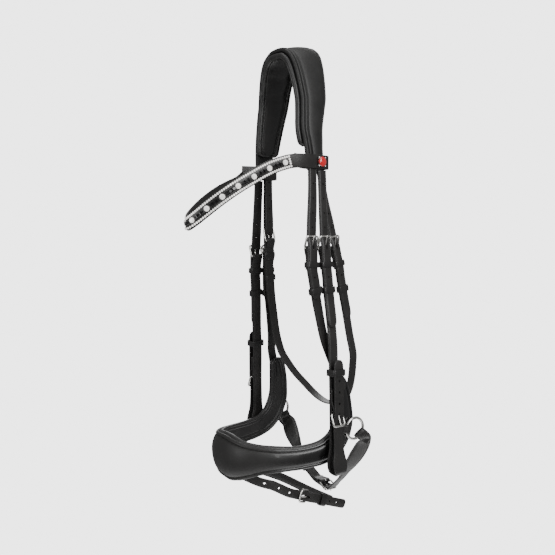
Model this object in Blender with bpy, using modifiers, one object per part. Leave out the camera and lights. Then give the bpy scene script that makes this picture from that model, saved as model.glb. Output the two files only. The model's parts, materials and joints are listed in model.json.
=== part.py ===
"""Snaffle bridle with an anatomic headpiece, a jewelled browband and a crank noseband with a flash strap.

The horse faces -Y, its left (near) side is +X and +Z is up. The origin is the middle of the underside of
the headpiece, where the bridle lies over the poll. Lengths in this file are millimetres, and MM turns them
into Blender's metres.
"""

import math

import bmesh
import bpy
from mathutils import Matrix, Vector

MM = 0.001
GAP = 0.3
SIDES = {"near": 1, "far": -1}

# Heights are measured from a level 12 mm below the seat, where the underside of the headpiece is flat.
SEAT_HEIGHT = 12.0

# Half the width between the two sides' straps, against the height
FACE_HALF_WIDTH = [(-100, 52.5), (-125, 56), (-240, 64), (-370, 71), (-450, 78), (-510, 80), (-620, 80)]

STRAP_WIDTH = 14.0
THROAT_WIDTH = 12.0
LEATHER = 2.2
CHAPE_LEATHER = 1.8
THIN_LEATHER = 1.2

WIRE_RADIUS = 1.2
TONGUE_RADIUS = 0.9
FRAME_LENGTH = 15.0
FRAME_RISE = 5.0
TONGUE_ANGLE = 18.6
HOLE_RADIUS = 1.5
HOLE_SPACING = 18.0

HEADPIECE_LEATHER = 3.0
HEADPIECE_PAD = 6.0
BROWBAND_HEIGHT = 17.0
BROWBAND_LEATHER = 2.4
CRYSTAL_DEPTH = 1.6

NOSE_LEATHER = 3.0
NOSE_PAD = 6.0
RING_RADIUS = 13.5
RING_WIRE = 1.8
RING_PLACE = (79.0, 39.5)
RING_HEIGHT = {"near": -461.5, "far": -475.0}
FLASH_WIDTH = 12.0
FLASH_TAB_WIDTH = 16.0
CHIN_WIDTH = 15.0

# Height of the bar of each upper buckle, and of the bit buckles and bit loops, as the bridle hangs
UPPER_BAR = {
    ("near", "noseband"): -233.0, ("near", "cheek"): -233.0, ("near", "throat"): -233.0,
    ("far", "noseband"): -246.0, ("far", "cheek"): -246.0, ("far", "throat"): -224.0,
}
BELOW_FOLD = 36.0
BIT_BAR = {"near": -436.0, "far": -422.0}
LOOP_BOTTOM = {"near": -513.0, "far": -500.0}

BLACK_LEATHER = ("black_leather", (0.012, 0.011, 0.011), 0.38, 0.0)
BLACK_PADDING = ("black_padding", (0.016, 0.015, 0.015), 0.5, 0.0)
SILVER = ("silver_metal", (0.78, 0.78, 0.76), 0.18, 1.0)
CRYSTAL = ("crystal_trim", (0.75, 0.75, 0.78), 0.12, 0.2)
STONE = ("red_stone", (0.65, 0.02, 0.02), 0.12, 0.0)


# ---------------------------------------------------------------- scene helpers


def clear_scene():
    for obj in list(bpy.data.objects):
        bpy.data.objects.remove(obj, do_unlink=True)


def new_collection(name):
    collection = bpy.data.collections.new(name)
    bpy.context.scene.collection.children.link(collection)
    return collection


def material(finish):
    name, colour, roughness, metallic = finish
    found = bpy.data.materials.get(name)
    if found:
        return found
    made = bpy.data.materials.new(name)
    made.use_nodes = True
    shader = made.node_tree.nodes["Principled BSDF"]
    shader.inputs["Base Color"].default_value = (*colour, 1)
    shader.inputs["Roughness"].default_value = roughness
    shader.inputs["Metallic"].default_value = metallic
    return made


def add_object(name, data, finish, collection=None):
    obj = bpy.data.objects.new(name, data)
    (collection or PARTS).objects.link(obj)
    obj.parent = SEAT
    data.materials.append(material(finish))
    return obj


def boolean(obj, other, operation):
    """Cuts other from obj, or joins it on, and hides other."""
    modifier = obj.modifiers.new(other.name, "BOOLEAN")
    modifier.operation = operation
    modifier.object = other
    other.hide_render = True
    other.display_type = "WIRE"
    for holder in list(other.users_collection):
        holder.objects.unlink(other)
    CUTTERS.objects.link(other)


# ---------------------------------------------------------------- lines in space


def between(table, at):
    """Linear reading of a table of (position, value), sorted by falling position."""
    for (high, first), (low, second) in zip(table, table[1:]):
        if at >= low:
            share = (high - at) / (high - low)
            return first + (second - first) * max(share, 0)
    return table[-1][1]


def smooth(points, steps=4):
    """Catmull-Rom curve through the points, each a Vector."""
    ends = [2 * points[0] - points[1], *points, 2 * points[-1] - points[-2]]
    line = []
    for a, b, c, d in zip(ends, ends[1:], ends[2:], ends[3:]):
        for i in range(steps):
            t = i / steps
            line.append(
                0.5
                * (2 * b + (c - a) * t + (2 * a - 5 * b + 4 * c - d) * t**2
                   + (3 * b - a - 3 * c + d) * t**3)
            )
    return [*line, points[-1].copy()]


def tangents(line, closed=False):
    last = len(line) - 1
    found = []
    for i in range(len(line)):
        before = line[i - 1] if i or closed else line[0]
        after = line[(i + 1) % (last + 1)] if i < last or closed else line[last]
        found.append((after - before).normalized())
    return found


def on_side(side, y, z, out=0.0):
    """A point on one side of the head, at a distance outside the plane of the straps."""
    return Vector((SIDES[side] * (between(FACE_HALF_WIDTH, z) + out), y, z))


def side_of(point):
    return "near" if point.x > 0 else "far"


def outward(side):
    return Vector((SIDES[side], 0, 0))


class Frame:
    """Local axes: along a strap, across it, and out of its face."""

    def __init__(self, origin, along, out):
        self.origin = origin
        self.along = along.normalized()
        self.across = self.along.cross(out).normalized()
        self.out = self.across.cross(self.along).normalized()

    def at(self, along, out=0.0, across=0.0):
        return self.origin + self.along * along + self.out * out + self.across * across

    def matrix(self):
        axes = Matrix((self.along, self.across, self.out)).transposed().to_4x4()
        return Matrix.Translation(self.origin * MM) @ axes


# ---------------------------------------------------------------- shapes


def ribbon(name, line, half_widths, thickness, finish, closed=False):
    """A strip of leather along a line. half_widths holds each station's vector to its edge."""
    mesh = bpy.data.meshes.new(name)
    bm = bmesh.new()
    rows = [
        [bm.verts.new((point + edge) * MM), bm.verts.new((point - edge) * MM)]
        for point, edge in zip(line, half_widths)
    ]
    following = rows[1:] + rows[:1] if closed else rows[1:]
    for (a, b), (c, d) in zip(rows, following):
        bm.faces.new((a, b, d, c))
    bm.to_mesh(mesh)
    bm.free()
    obj = add_object(name, mesh, finish)
    solid = obj.modifiers.new("Thickness", "SOLIDIFY")
    solid.thickness = thickness * MM
    solid.offset = 0
    solid.use_even_offset = True
    return obj


def strap(name, line, outs, width, thickness, finish, round_start=False, round_end=False):
    """A ribbon whose faces look along outs: one vector, or one for each station. Width may be a function
    of the share of the length."""
    outs = outs if isinstance(outs, list) else [outs] * len(line)
    lengths = [0.0]
    for a, b in zip(line, line[1:]):
        lengths.append(lengths[-1] + (b - a).length)
    edges = []
    for i, (tangent, out) in enumerate(zip(tangents(line), outs)):
        wide = width(lengths[i] / lengths[-1]) if callable(width) else width
        half = wide / 2
        from_end = min(
            lengths[i] if round_start else half,
            lengths[-1] - lengths[i] if round_end else half,
        )
        if from_end < half:
            half = max(math.sqrt(half**2 - (half - from_end) ** 2), 0.35 * half)
        edges.append(tangent.cross(out).normalized() * half)
    return ribbon(name, line, edges, thickness, finish)


def tip_line(line, width):
    """The line with extra stations near its end, so that a round tip has a few facets."""
    end, before = line[-1], line[-2]
    back = (before - end).normalized()
    cut = [p for p in line if (p - end).length > width / 2 + 1]
    return [*cut, *(end + back * width * share for share in (0.5, 0.24, 0.08, 0.0))]


def wire(name, points, radius, finish, closed=False):
    """A round wire, as a mesh."""
    data = bpy.data.curves.new(name, "CURVE")
    data.dimensions = "3D"
    data.bevel_depth = radius * MM
    data.bevel_resolution = 2
    data.use_fill_caps = not closed
    spline = data.splines.new("POLY")
    spline.points.add(len(points) - 1)
    for place, point in zip(spline.points, points):
        place.co = (*(point * MM), 1)
    spline.use_cyclic_u = closed
    curve = add_object(name + "_curve", data, finish)
    graph = bpy.context.evaluated_depsgraph_get()
    mesh = bpy.data.meshes.new_from_object(curve.evaluated_get(graph))
    bm = bmesh.new()
    bm.from_mesh(mesh)
    bmesh.ops.remove_doubles(bm, verts=bm.verts, dist=1e-6)
    bmesh.ops.recalc_face_normals(bm, faces=bm.faces)
    bm.to_mesh(mesh)
    bm.free()
    mesh.materials.clear()
    obj = add_object(name, mesh, finish)
    bpy.data.objects.remove(curve, do_unlink=True)
    mesh.shade_smooth()
    return obj


def box_cutter(name, frame, along, across, out):
    """A box between two values on each axis of a frame."""
    mesh = bpy.data.meshes.new(name)
    bm = bmesh.new()
    bmesh.ops.create_cube(bm, size=1)
    spans = (along, across, out)
    size = Matrix.Diagonal([(high - low) * MM for low, high in spans]).to_4x4()
    middle = Matrix.Translation([(high + low) / 2 * MM for low, high in spans])
    bmesh.ops.transform(bm, matrix=frame.matrix() @ middle @ size, verts=bm.verts)
    bmesh.ops.recalc_face_normals(bm, faces=bm.faces)
    bm.to_mesh(mesh)
    bm.free()
    return add_object(name, mesh, BLACK_LEATHER)


def hole_cutters(name, frames, radius=HOLE_RADIUS, depth=6.0):
    """One object that holds a short round punch at each frame."""
    mesh = bpy.data.meshes.new(name)
    bm = bmesh.new()
    for frame in frames:
        bmesh.ops.create_cone(
            bm, cap_ends=True, segments=8, radius1=radius * MM, radius2=radius * MM,
            depth=depth * MM, matrix=frame.matrix(),
        )
    bmesh.ops.recalc_face_normals(bm, faces=bm.faces)
    bm.to_mesh(mesh)
    bm.free()
    return add_object(name, mesh, BLACK_LEATHER)


def frames_along(line, out, distances):
    """A Frame on a line at each distance from its first point."""
    found = []
    for wanted in distances:
        left = wanted
        for a, b in zip(line, line[1:]):
            step = (b - a).length
            if left <= step:
                found.append(Frame(a.lerp(b, left / step), b - a, out))
                break
            left -= step
    return found


def loop_band(name, frame, across, out, height, thickness, finish=BLACK_LEATHER):
    """A closed leather loop round a strap: across and out are the inside's limits at the frame's origin."""
    corner = 1.0
    low_a, high_a = across[0] - thickness / 2, across[1] + thickness / 2
    low_o, high_o = out[0] - thickness / 2, out[1] + thickness / 2
    outline = []
    for a, o, turn in (
        (high_a - corner, high_o - corner, 0),
        (low_a + corner, high_o - corner, 90),
        (low_a + corner, low_o + corner, 180),
        (high_a - corner, low_o + corner, 270),
    ):
        for angle in (turn, turn + 45, turn + 90):
            angle = math.radians(angle)
            outline.append((a + corner * math.cos(angle), o + corner * math.sin(angle)))
    line = [frame.at(0, o, a) for a, o in outline]
    return ribbon(name, line, [frame.along * height / 2] * len(line), thickness, finish, closed=True)


# ---------------------------------------------------------------- buckles
# In a buckle's frame the bar lies at (0, 0), the frame's far bar at (FRAME_LENGTH, FRAME_RISE), and the
# strap end that the buckle holds passes under the far bar and over the bar.

FOLD_RADIUS = WIRE_RADIUS + GAP + CHAPE_LEATHER / 2
BILLET_OVER_BAR = WIRE_RADIUS + GAP + CHAPE_LEATHER + GAP + LEATHER / 2
BILLET_AT_FAR_BAR = FRAME_RISE - WIRE_RADIUS - GAP - LEATHER / 2


def buckle_frame(name, frame, width):
    """The rectangular wire frame, with rounded corners. One of its short sides is the bar."""
    half = width / 2 + 0.4 + WIRE_RADIUS
    slope = FRAME_RISE / FRAME_LENGTH
    corner = 2.2
    points = []
    for a, s, turn in (
        (half - corner, FRAME_LENGTH - corner, 0),
        (-half + corner, FRAME_LENGTH - corner, 90),
        (-half + corner, corner, 180),
        (half - corner, corner, 270),
    ):
        for angle in (turn, turn + 30, turn + 60, turn + 90):
            angle = math.radians(angle)
            along = s + corner * math.sin(angle)
            points.append(frame.at(along, along * slope, a + corner * math.cos(angle)))
    return wire(name, points, WIRE_RADIUS, SILVER, closed=True)


def buckle_tongue(name, frame):
    """A wire rolled round the bar, whose tip lies over the far bar."""
    roll = WIRE_RADIUS + 0.25 + TONGUE_RADIUS
    leave = 90 + TONGUE_ANGLE
    points = []
    for step in range(8):
        angle = math.radians(leave + 235 - step * 235 / 7)
        points.append(frame.at(roll * math.cos(angle), roll * math.sin(angle)))
    slope = math.radians(TONGUE_ANGLE)
    for reach in (9.0, FRAME_LENGTH + 2.6):
        points.append(points[7] + (frame.along * math.cos(slope) + frame.out * math.sin(slope)) * reach)
    return wire(name, points, TONGUE_RADIUS, SILVER)


def chape_fold(frame, leather=CHAPE_LEATHER, ply_end=-20.0, bar=WIRE_RADIUS, room=0.4):
    """Line of a strap end folded round a bar, from the hidden ply's end to the outer ply's start. The fold
    stands off the bar by room at its tip."""
    radius = bar + GAP + leather / 2
    inner = radius - leather - GAP
    line = [frame.at(ply_end, inner), frame.at(-11, inner), frame.at(-6, (inner - radius) / 2)]
    for degrees in (-100, -60, -20, 20, 60, 100):
        angle = math.radians(degrees)
        line.append(frame.at((radius + room) * math.cos(angle), radius * math.sin(angle)))
    return line


def tongue_slot(obj, frame):
    """Opens the fold of a chape for the tongue."""
    half = TONGUE_RADIUS + 0.45
    boolean(obj, box_cutter(obj.name + "_slot", frame, (-4.4, 5), (-half, half), (-7, 3.6)), "DIFFERENCE")


def billet_slot(obj, frame):
    """The oval hole that the tongue goes through."""
    half = TONGUE_RADIUS + 0.4
    boolean(obj, box_cutter(obj.name + "_oval", frame, (-0.8, 10.2), (-half, half), (0.5, 8)), "DIFFERENCE")


# ---------------------------------------------------------------- headpiece

ARCH = [(-47, -137), (-45.5, -110), (-42, -80), (-36.5, -48), (-29, -18), (-20, 3), (-10, SEAT_HEIGHT)]
CROWN_WIDTH = [(SEAT_HEIGHT, 52), (-45, 42), (-85, 35), (-110, 29), (-137, 27)]
CROWN_CENTRE = {
    "near": [(SEAT_HEIGHT, 0), (-45, -3), (-85, -12), (-110, -11), (-137, -9)],
    "far": [(SEAT_HEIGHT, 0), (-45, 3), (-85, 0), (-110, -1), (-137, -1)],
}
CROWN_TILT = [(SEAT_HEIGHT, 10), (-45, 3), (-137, 0)]
PAD_EDGE = 3.0
PAD_END = -106.0


def arch_line(out, end):
    """The arch over the poll, lifted by out, between the two ends at the same height."""
    half = [Vector((x, 0, z)) for x, z in ARCH if z >= end]
    whole = half + [Vector((-p.x, 0, p.z)) for p in reversed(half)]
    middle = len(half)
    line = smooth(whole[:middle], 3) + smooth(whole[middle:], 3)
    lifted = []
    for point, tangent in zip(line, tangents(line)):
        normal = Vector((-tangent.z, 0, tangent.x))
        lifted.append(point + normal * out)
    return lifted


def crown_band(name, out, extra, end, thickness, finish):
    line = arch_line(out, end)
    centred = [p + Vector((0, between(CROWN_CENTRE[side_of(p)], p.z), 0)) for p in line]
    edges = []
    for point in line:
        half = between(CROWN_WIDTH, point.z) / 2 + extra
        tilt = math.radians(between(CROWN_TILT, point.z))
        edges.append(Vector((0, half * math.cos(tilt), half * math.sin(tilt))))
    return ribbon(name, centred, edges, thickness, finish)


def make_headpiece():
    crown_band("headpiece_pad", HEADPIECE_PAD / 2, PAD_EDGE, PAD_END, HEADPIECE_PAD, BLACK_PADDING)
    above = HEADPIECE_PAD + 3 * GAP + HEADPIECE_LEATHER / 2
    crown_band("headpiece", above, 0, -137, HEADPIECE_LEATHER, BLACK_LEATHER)


# ---------------------------------------------------------------- side straps
# Each route is a list of (y, z) down the side of the head.

# The cheek billets start below the browband's loops, where they bend as they flare
BILLET_TOP = {
    ("near", "noseband"): -128.0, ("near", "cheek"): -136.0, ("near", "throat"): -128.0,
    ("far", "noseband"): -128.0, ("far", "cheek"): -142.0, ("far", "throat"): -128.0,
}
ROUTES = {
    ("near", "noseband"): [(-16.5, -128), (-18, -170), (-21, -205), (-22.5, -235), (-22.5, -262),
                           (-18, -290), (-12.5, -318), (-6, -345), (2, -368), (9, -386)],
    ("far", "noseband"): [(7, -128), (9, -170), (11, -205), (13, -240), (14, -275), (17, -305),
                          (21, -335), (25, -360), (28.5, -386)],
    ("near", "cheek"): [(-0.5, -128), (-1, -170), (-1, -205), (-1, -235), (0, -262), (1.5, -290),
                        (1.2, -320), (0, -350), (-1.5, -380), (-4.5, -430), (-6.5, -480)],
    ("far", "cheek"): [(-8, -128), (-8, -170), (-8, -205), (-8, -240), (-6, -275), (-1, -310), (3.5, -345),
                       (6, -375), (8, -400), (10, -430), (13.5, -480)],
    ("near", "throat"): [(1.5, -128), (6.5, -170), (14, -205), (20, -235), (25.5, -262), (31, -290),
                         (37, -318), (42, -345)],
    ("far", "throat"): [(3, -128), (3, -170), (3.5, -205), (5, -240), (8.5, -275), (12.5, -305),
                        (17.5, -330), (20.5, -345)],
}
WIDTHS = {"noseband": STRAP_WIDTH, "cheek": STRAP_WIDTH, "throat": THROAT_WIDTH}
BILLET_LENGTH = {"noseband": 62.0, "cheek": 98.0, "throat": 90.0}
STRAP_OUT = {
    ("near", "noseband"): [(-128, 1.8), (-170, 1), (-235, 0), (-350, 0), (-384, 3.4), (-600, 3.4)],
    ("far", "noseband"): [(-128, 1.8), (-170, 1), (-235, 0), (-350, 0), (-384, 3.4), (-600, 3.4)],
    ("near", "cheek"): [(-128, 1.8), (-170, 1.5), (-235, 1.5), (-300, 2), (-340, 8.8), (-375, 10), (-600, 10.5)],
    ("far", "cheek"): [(-128, 1.8), (-170, 1.5), (-235, 1.5), (-285, 2), (-325, 7.5), (-345, 9), (-600, 10)],
    ("near", "throat"): [(-128, -5), (-170, -3), (-235, -1), (-300, -2), (-600, -3)],
    ("far", "throat"): [(-128, -5.6), (-143, -5.8), (-170, -9), (-200, -12), (-600, -12)],
}


def route_point(side, kind, y, z, lift=0.0):
    return on_side(side, y, z, between(STRAP_OUT[side, kind], z) + lift)


def route_line(side, kind, top, bottom, lift=0.0):
    """The smooth line of one strap between two heights."""
    line = smooth([route_point(side, kind, y, z, lift) for y, z in ROUTES[side, kind]], 4)
    inside = [p for p in line if bottom < p.z < top]
    return [line_at(line, top), *inside, line_at(line, bottom)]


def line_at(line, height):
    """The point of a falling line at a height."""
    for a, b in zip(line, line[1:]):
        if a.z >= height >= b.z:
            return a.lerp(b, (a.z - height) / (a.z - b.z))
    return line[0].copy() if height > line[0].z else line[-1].copy()


def upper_buckle_frame(side, kind):
    """Frame of an upper buckle: its far bar points up, and the strap below hangs on its bar."""
    line = route_line(side, kind, -130, -330)
    bar = line_at(line, UPPER_BAR[side, kind])
    above = line_at(line, UPPER_BAR[side, kind] + 16)
    below = line_at(line, UPPER_BAR[side, kind] - 16)
    frame = Frame(bar, above - below, outward(side))
    frame.origin = frame.at(0, -FOLD_RADIUS)
    return frame


def make_billet(side, kind):
    """Punched strap from the headpiece, down through its buckle and over the strap below."""
    frame = upper_buckle_frame(side, kind)
    bar = UPPER_BAR[side, kind]
    line = route_line(side, kind, BILLET_TOP[side, kind], bar + FRAME_LENGTH + 5)
    line += [
        frame.at(FRAME_LENGTH, BILLET_AT_FAR_BAR),
        frame.at(FRAME_LENGTH / 2, (BILLET_AT_FAR_BAR + BILLET_OVER_BAR) / 2 + 0.3),
        frame.at(1, BILLET_OVER_BAR),
        frame.at(-9, BILLET_OVER_BAR),
        frame.at(-27, BILLET_OVER_BAR),
    ]
    lift = BILLET_OVER_BAR - FOLD_RADIUS
    line += route_line(side, kind, bar - BELOW_FOLD, bar - BILLET_LENGTH[kind], lift)
    line = tip_line(line, WIDTHS[kind])
    name = f"{kind}_billet_{side}"
    obj = strap(name, line, outward(side), WIDTHS[kind], LEATHER, BLACK_LEATHER, round_end=True)
    reach = (line_at(line, bar + 26) - line[0]).length
    billet_slot(obj, frame)
    punched = [reach - HOLE_SPACING * i for i in range(3)] + [reach + 62]
    punches = hole_cutters(name + "_holes", frames_along(line, outward(side), punched))
    boolean(obj, punches, "DIFFERENCE")


def keeper(name, frame, width, inner, outer, height, thickness=1.3):
    """A leather loop round the plies of a strap."""
    half = width / 2 + 0.4
    return loop_band(name, frame, (-half, half), (inner, outer), height, thickness)


def keeper_frame(side, kind, z):
    line = route_line(side, kind, z + 8, z - 8)
    middle = line_at(line, z)
    return Frame(middle, line[0] - line[-1], outward(side))


def upper_fold(side, kind):
    """The fold round an upper bar, and the straight stretch below it that the sewn keeper needs."""
    frame = upper_buckle_frame(side, kind)
    return chape_fold(frame, ply_end=-26) + [frame.at(-9, FOLD_RADIUS), frame.at(-27, FOLD_RADIUS)]


def hanging_line(side, kind, bottom):
    """The strap's line from below its upper fold down to a height."""
    return route_line(side, kind, UPPER_BAR[side, kind] - BELOW_FOLD, bottom)


def fixed_keeper(strap_object, side, kind):
    """The sewn keeper just below an upper buckle, joined to the strap that carries it."""
    bar = upper_buckle_frame(side, kind)
    frame = Frame(bar.at(-20, FOLD_RADIUS), bar.along, bar.out)
    outer = CHAPE_LEATHER / 2 + GAP + LEATHER + GAP + 0.1
    inner = -CHAPE_LEATHER / 2 - GAP - CHAPE_LEATHER + 0.3
    loop = keeper(strap_object.name + "_keeper_" + side, frame, WIDTHS[kind], inner, outer, 7)
    boolean(strap_object, loop, "UNION")


def runner(side, kind, z):
    """A loose keeper that slides on the strap and its billet."""
    frame = keeper_frame(side, kind, z)
    outer = CHAPE_LEATHER / 2 + GAP + LEATHER + GAP + 0.25
    keeper(f"{kind}_runner_{side}", frame, WIDTHS[kind], -CHAPE_LEATHER / 2 - 0.45, outer, 8)


# ---------------------------------------------------------------- cheekpieces

BIT_TIP_OVER = WIRE_RADIUS + 0.25 + 2 * TONGUE_RADIUS + GAP + CHAPE_LEATHER / 2
BIT_STACK = BIT_TIP_OVER
LOOP_HALF = 6.0


def bit_buckle_frame(side):
    """Frame of a bit buckle: its far bar points down, and its chape is sewn on the cheekpiece."""
    line = route_line(side, "cheek", -380, -460)
    bar = line_at(line, BIT_BAR[side])
    frame = Frame(bar, line_at(line, BIT_BAR[side] - 14) - line_at(line, BIT_BAR[side] + 14), outward(side))
    frame.origin = frame.at(0, BIT_STACK)
    return frame


def make_cheekpiece(side):
    """From the upper buckle down to the bit loop, and back up outside through the bit buckle."""
    frame = bit_buckle_frame(side)
    line = upper_fold(side, "cheek") + hanging_line(side, "cheek", LOOP_BOTTOM[side] + 40)
    drop = line_at(line, LOOP_BOTTOM[side] + 40)
    low = drop.z - LOOP_BOTTOM[side] - LOOP_HALF - CHAPE_LEATHER / 2
    down = Frame(drop, Vector((0, 0, -1)), outward(side))
    for degrees in (-80, -40, 0, 40, 80):
        angle = math.radians(degrees)
        line.append(down.at(low + LOOP_HALF * math.cos(angle), LOOP_HALF + LOOP_HALF * math.sin(angle)))
    over = BIT_TIP_OVER
    under = FRAME_RISE - WIRE_RADIUS - GAP - CHAPE_LEATHER / 2
    line += [down.at(low - 16, 9.5), frame.at(FRAME_LENGTH + 3, under - 0.2), frame.at(FRAME_LENGTH, under)]
    line += [frame.at(FRAME_LENGTH / 2, (under + over) / 2), frame.at(0, over), frame.at(-12, over)]
    line += [frame.at(-30, over), frame.at(-50, over), frame.at(-66, over)]
    line = tip_line(line, STRAP_WIDTH)
    name = f"cheekpiece_{side}"
    outs = cross_outs(line, start=upper_buckle_frame(side, "cheek"))
    obj = strap(name, line, outs, STRAP_WIDTH, CHAPE_LEATHER, BLACK_LEATHER, round_end=True)
    tongue_slot(obj, upper_buckle_frame(side, "cheek"))
    half = TONGUE_RADIUS + 0.4
    oval = box_cutter(name + "_oval", frame, (-0.8, 10.2), (-half, half), (0.5, 8))
    boolean(obj, oval, "DIFFERENCE")
    fixed_keeper(obj, side, "cheek")


FOLD_STATIONS = 11


def cross_outs(line, start=None, end=None):
    """Out vectors for a line whose edges run along Y, and along the bar where a fold begins or ends it."""
    across = [Vector((0, 1, 0))] * len(line)
    if start:
        across[:FOLD_STATIONS] = [along_y(start.across)] * FOLD_STATIONS
    if end:
        across[-FOLD_STATIONS:] = [along_y(end.across)] * FOLD_STATIONS
    return [tangent.cross(edge).normalized() for tangent, edge in zip(tangents(line), across)]


def along_y(vector):
    return vector if vector.y > 0 else -vector


def make_bit_chape(side):
    """The thin folded piece that holds the bit buckle on the cheekpiece, with its sewn keeper."""
    frame = bit_buckle_frame(side)
    radius = WIRE_RADIUS + GAP + THIN_LEATHER / 2
    line = [frame.at(-30, -radius), frame.at(-6, -radius)]
    for degrees in (-90, -45, 0, 45, 90):
        angle = math.radians(degrees)
        line.append(frame.at((radius + 0.4) * math.cos(angle), radius * math.sin(angle)))
    line += [frame.at(-6, radius), frame.at(-10, radius - 1.2), frame.at(-15, -radius + THIN_LEATHER + GAP)]
    line += [frame.at(-29, -radius + THIN_LEATHER + GAP)]
    obj = strap(f"bit_chape_{side}", line, cross_outs(line), STRAP_WIDTH, THIN_LEATHER, BLACK_LEATHER)
    tongue_slot(obj, frame)


def make_bit_runner(side):
    """The loose keeper over the bit strap's tip, round both plies of the cheekpiece."""
    frame = bit_buckle_frame(side)
    place = Frame(frame.at(-50), frame.along, frame.out)
    over = BIT_TIP_OVER + CHAPE_LEATHER / 2
    keeper(f"bit_runner_{side}", place, STRAP_WIDTH + 1, -BIT_STACK - CHAPE_LEATHER / 2 - 1.5, over + 0.4, 8)


# ---------------------------------------------------------------- noseband

# Plan and height of the noseband's middle line, from the front round to the near side and up to the hanger:
# (x, y, z, height of the band)
NOSE_ROUTE = [
    (0, -103.4, -496, 55), (18, -102, -496, 53), (36, -93.5, -494.5, 44), (52, -75.5, -492.5, 34),
    (63, -52.5, -492.5, 29), (70.5, -26, -492, 27), (75.5, -1.5, -488.5, 28), (78.5, 18, -476, 28),
    (79, 27.5, -455, 27), (77.5, 28, -434, 25), (75.5, 26, -413, 22), (73.5, 21.5, -396, 18),
]
# The noseband hangs turned a little, with its near side forward
NOSE_YAW = 7.0


def yawed(point):
    return Matrix.Rotation(math.radians(-NOSE_YAW), 3, "Z") @ Vector(point)


def nose_line():
    """The whole noseband from the far hanger to the near one, as (points, heights)."""
    near = [Vector((*row[:3],)) for row in NOSE_ROUTE]
    far = [Vector((-p.x, p.y, p.z)) for p in reversed(near[1:])]
    heights = [row[3] for row in reversed(NOSE_ROUTE[1:])] + [row[3] for row in NOSE_ROUTE]
    points = [yawed(p) for p in smooth(far + near, 3)]
    wide = [v.x for v in smooth([Vector((h, 0, 0)) for h in heights], 3)]
    return points, wide


def nose_outs(points):
    """Out of the face all along the noseband: level, and square to the line in plan."""
    outs = []
    for point, tangent in zip(points, tangents(points)):
        flat = Vector((tangent.y, -tangent.x, 0))
        side = yawed((math.copysign(1, point.x), 0, 0))
        share = min(max((point.y + 10) / 25, 0), 1)
        flat = flat.normalized() if flat.length > 0.05 else side
        outs.append((flat * (1 - share) + side * share).normalized())
    return outs


def nose_band(name, out, extra, thickness, finish):
    points, wide = nose_line()
    outs = nose_outs(points)
    lengths = tangents(points)
    shifted = [p + o * out for p, o in zip(points, outs)]
    edges = [t.cross(o).normalized() * (w / 2 + extra) for t, o, w in zip(lengths, outs, wide)]
    return ribbon(name, shifted, edges, thickness, finish)


def make_nosepiece():
    nose_band("nosepiece", NOSE_LEATHER / 2, 0, NOSE_LEATHER, BLACK_LEATHER)
    nose_band("nosepiece_pad", -GAP - NOSE_PAD / 2, 1.5, NOSE_PAD, BLACK_PADDING)


def make_hanger(side):
    """Strap from the noseband's upper buckle down to the top of the padded arm."""
    line = upper_fold(side, "noseband")
    line += hanging_line(side, "noseband", -382)
    x, y, z, _ = NOSE_ROUTE[-1]
    over = NOSE_LEATHER + GAP + CHAPE_LEATHER / 2 + 1.1
    for drop in (1, 8, 15):
        lap = Vector((SIDES[side] * (x + over + drop * 0.12), y + drop * 0.25, z - drop))
        line.append(yawed(lap))
    line = tip_line(line, STRAP_WIDTH)
    name = f"noseband_hanger_{side}"
    outs = cross_outs(line, start=upper_buckle_frame(side, "noseband"))
    obj = strap(name, line, outs, STRAP_WIDTH, CHAPE_LEATHER, BLACK_LEATHER, round_end=True)
    tongue_slot(obj, upper_buckle_frame(side, "noseband"))
    fixed_keeper(obj, side, "noseband")


def ring_centre(side):
    x, y = RING_PLACE
    return yawed((SIDES[side] * (x + NOSE_LEATHER + RING_WIRE + 2.4), y, RING_HEIGHT[side]))


def ring_frame(side):
    """At the ring's middle; its first axis points from the tab to the ring's middle."""
    return Frame(ring_centre(side), yawed((0, 1, -0.15)), yawed(outward(side)))


def make_ring(side):
    frame = ring_frame(side)
    points = [
        frame.at(RING_RADIUS * math.cos(a), 0, RING_RADIUS * math.sin(a))
        for a in (math.radians(15 * i) for i in range(24))
    ]
    wire(f"ring_{side}", points, RING_WIRE, SILVER, closed=True)


def make_ring_tab(side):
    """A folded tab, sewn on the noseband's arm, with the ring in its fold."""
    frame = ring_frame(side)
    fold = RING_WIRE + 0.8 + THIN_LEATHER / 2
    centre = -RING_RADIUS
    line = [frame.at(centre - 10, -fold + 0.6), frame.at(centre - 6, -fold + 0.6), frame.at(centre, -fold)]
    for degrees in (-60, -20, 20, 60):
        angle = math.radians(degrees)
        line.append(frame.at(centre + (fold + 2.6) * math.cos(angle), fold * math.sin(angle)))
    line += [frame.at(centre, fold), frame.at(centre - 4, fold - 2), frame.at(centre - 7, -0.8)]
    line += [frame.at(centre - 10, -fold + 0.6 + THIN_LEATHER + GAP)]
    outs = [tangent.cross(frame.across).normalized() for tangent in tangents(line)]
    strap(f"ring_tab_{side}", line, outs, 12, THIN_LEATHER, BLACK_LEATHER)


# ---------------------------------------------------------------- browband

# (x, y, z) along the middle of the band, from the near loop round the forehead to the far loop
BROW_ROUTE = [
    (61.4, -24, -126), (60.5, -36, -126.5), (56.5, -51, -128), (51, -76, -136.5), (45, -101, -150),
    (37.5, -121, -163), (27, -139, -178), (16, -151, -191), (4, -158, -201), (-6, -156.5, -203),
    (-17, -146.5, -196), (-27, -126, -182.5), (-34, -106, -171), (-40, -87, -161.5), (-45, -69, -154),
    (-50.5, -50, -147), (-58, -36, -139.5), (-63.5, -20, -133.5), (-65.1, -8, -132),
]
BROW_LOOP_Z = {"near": -126.0, "far": -132.0}
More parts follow.
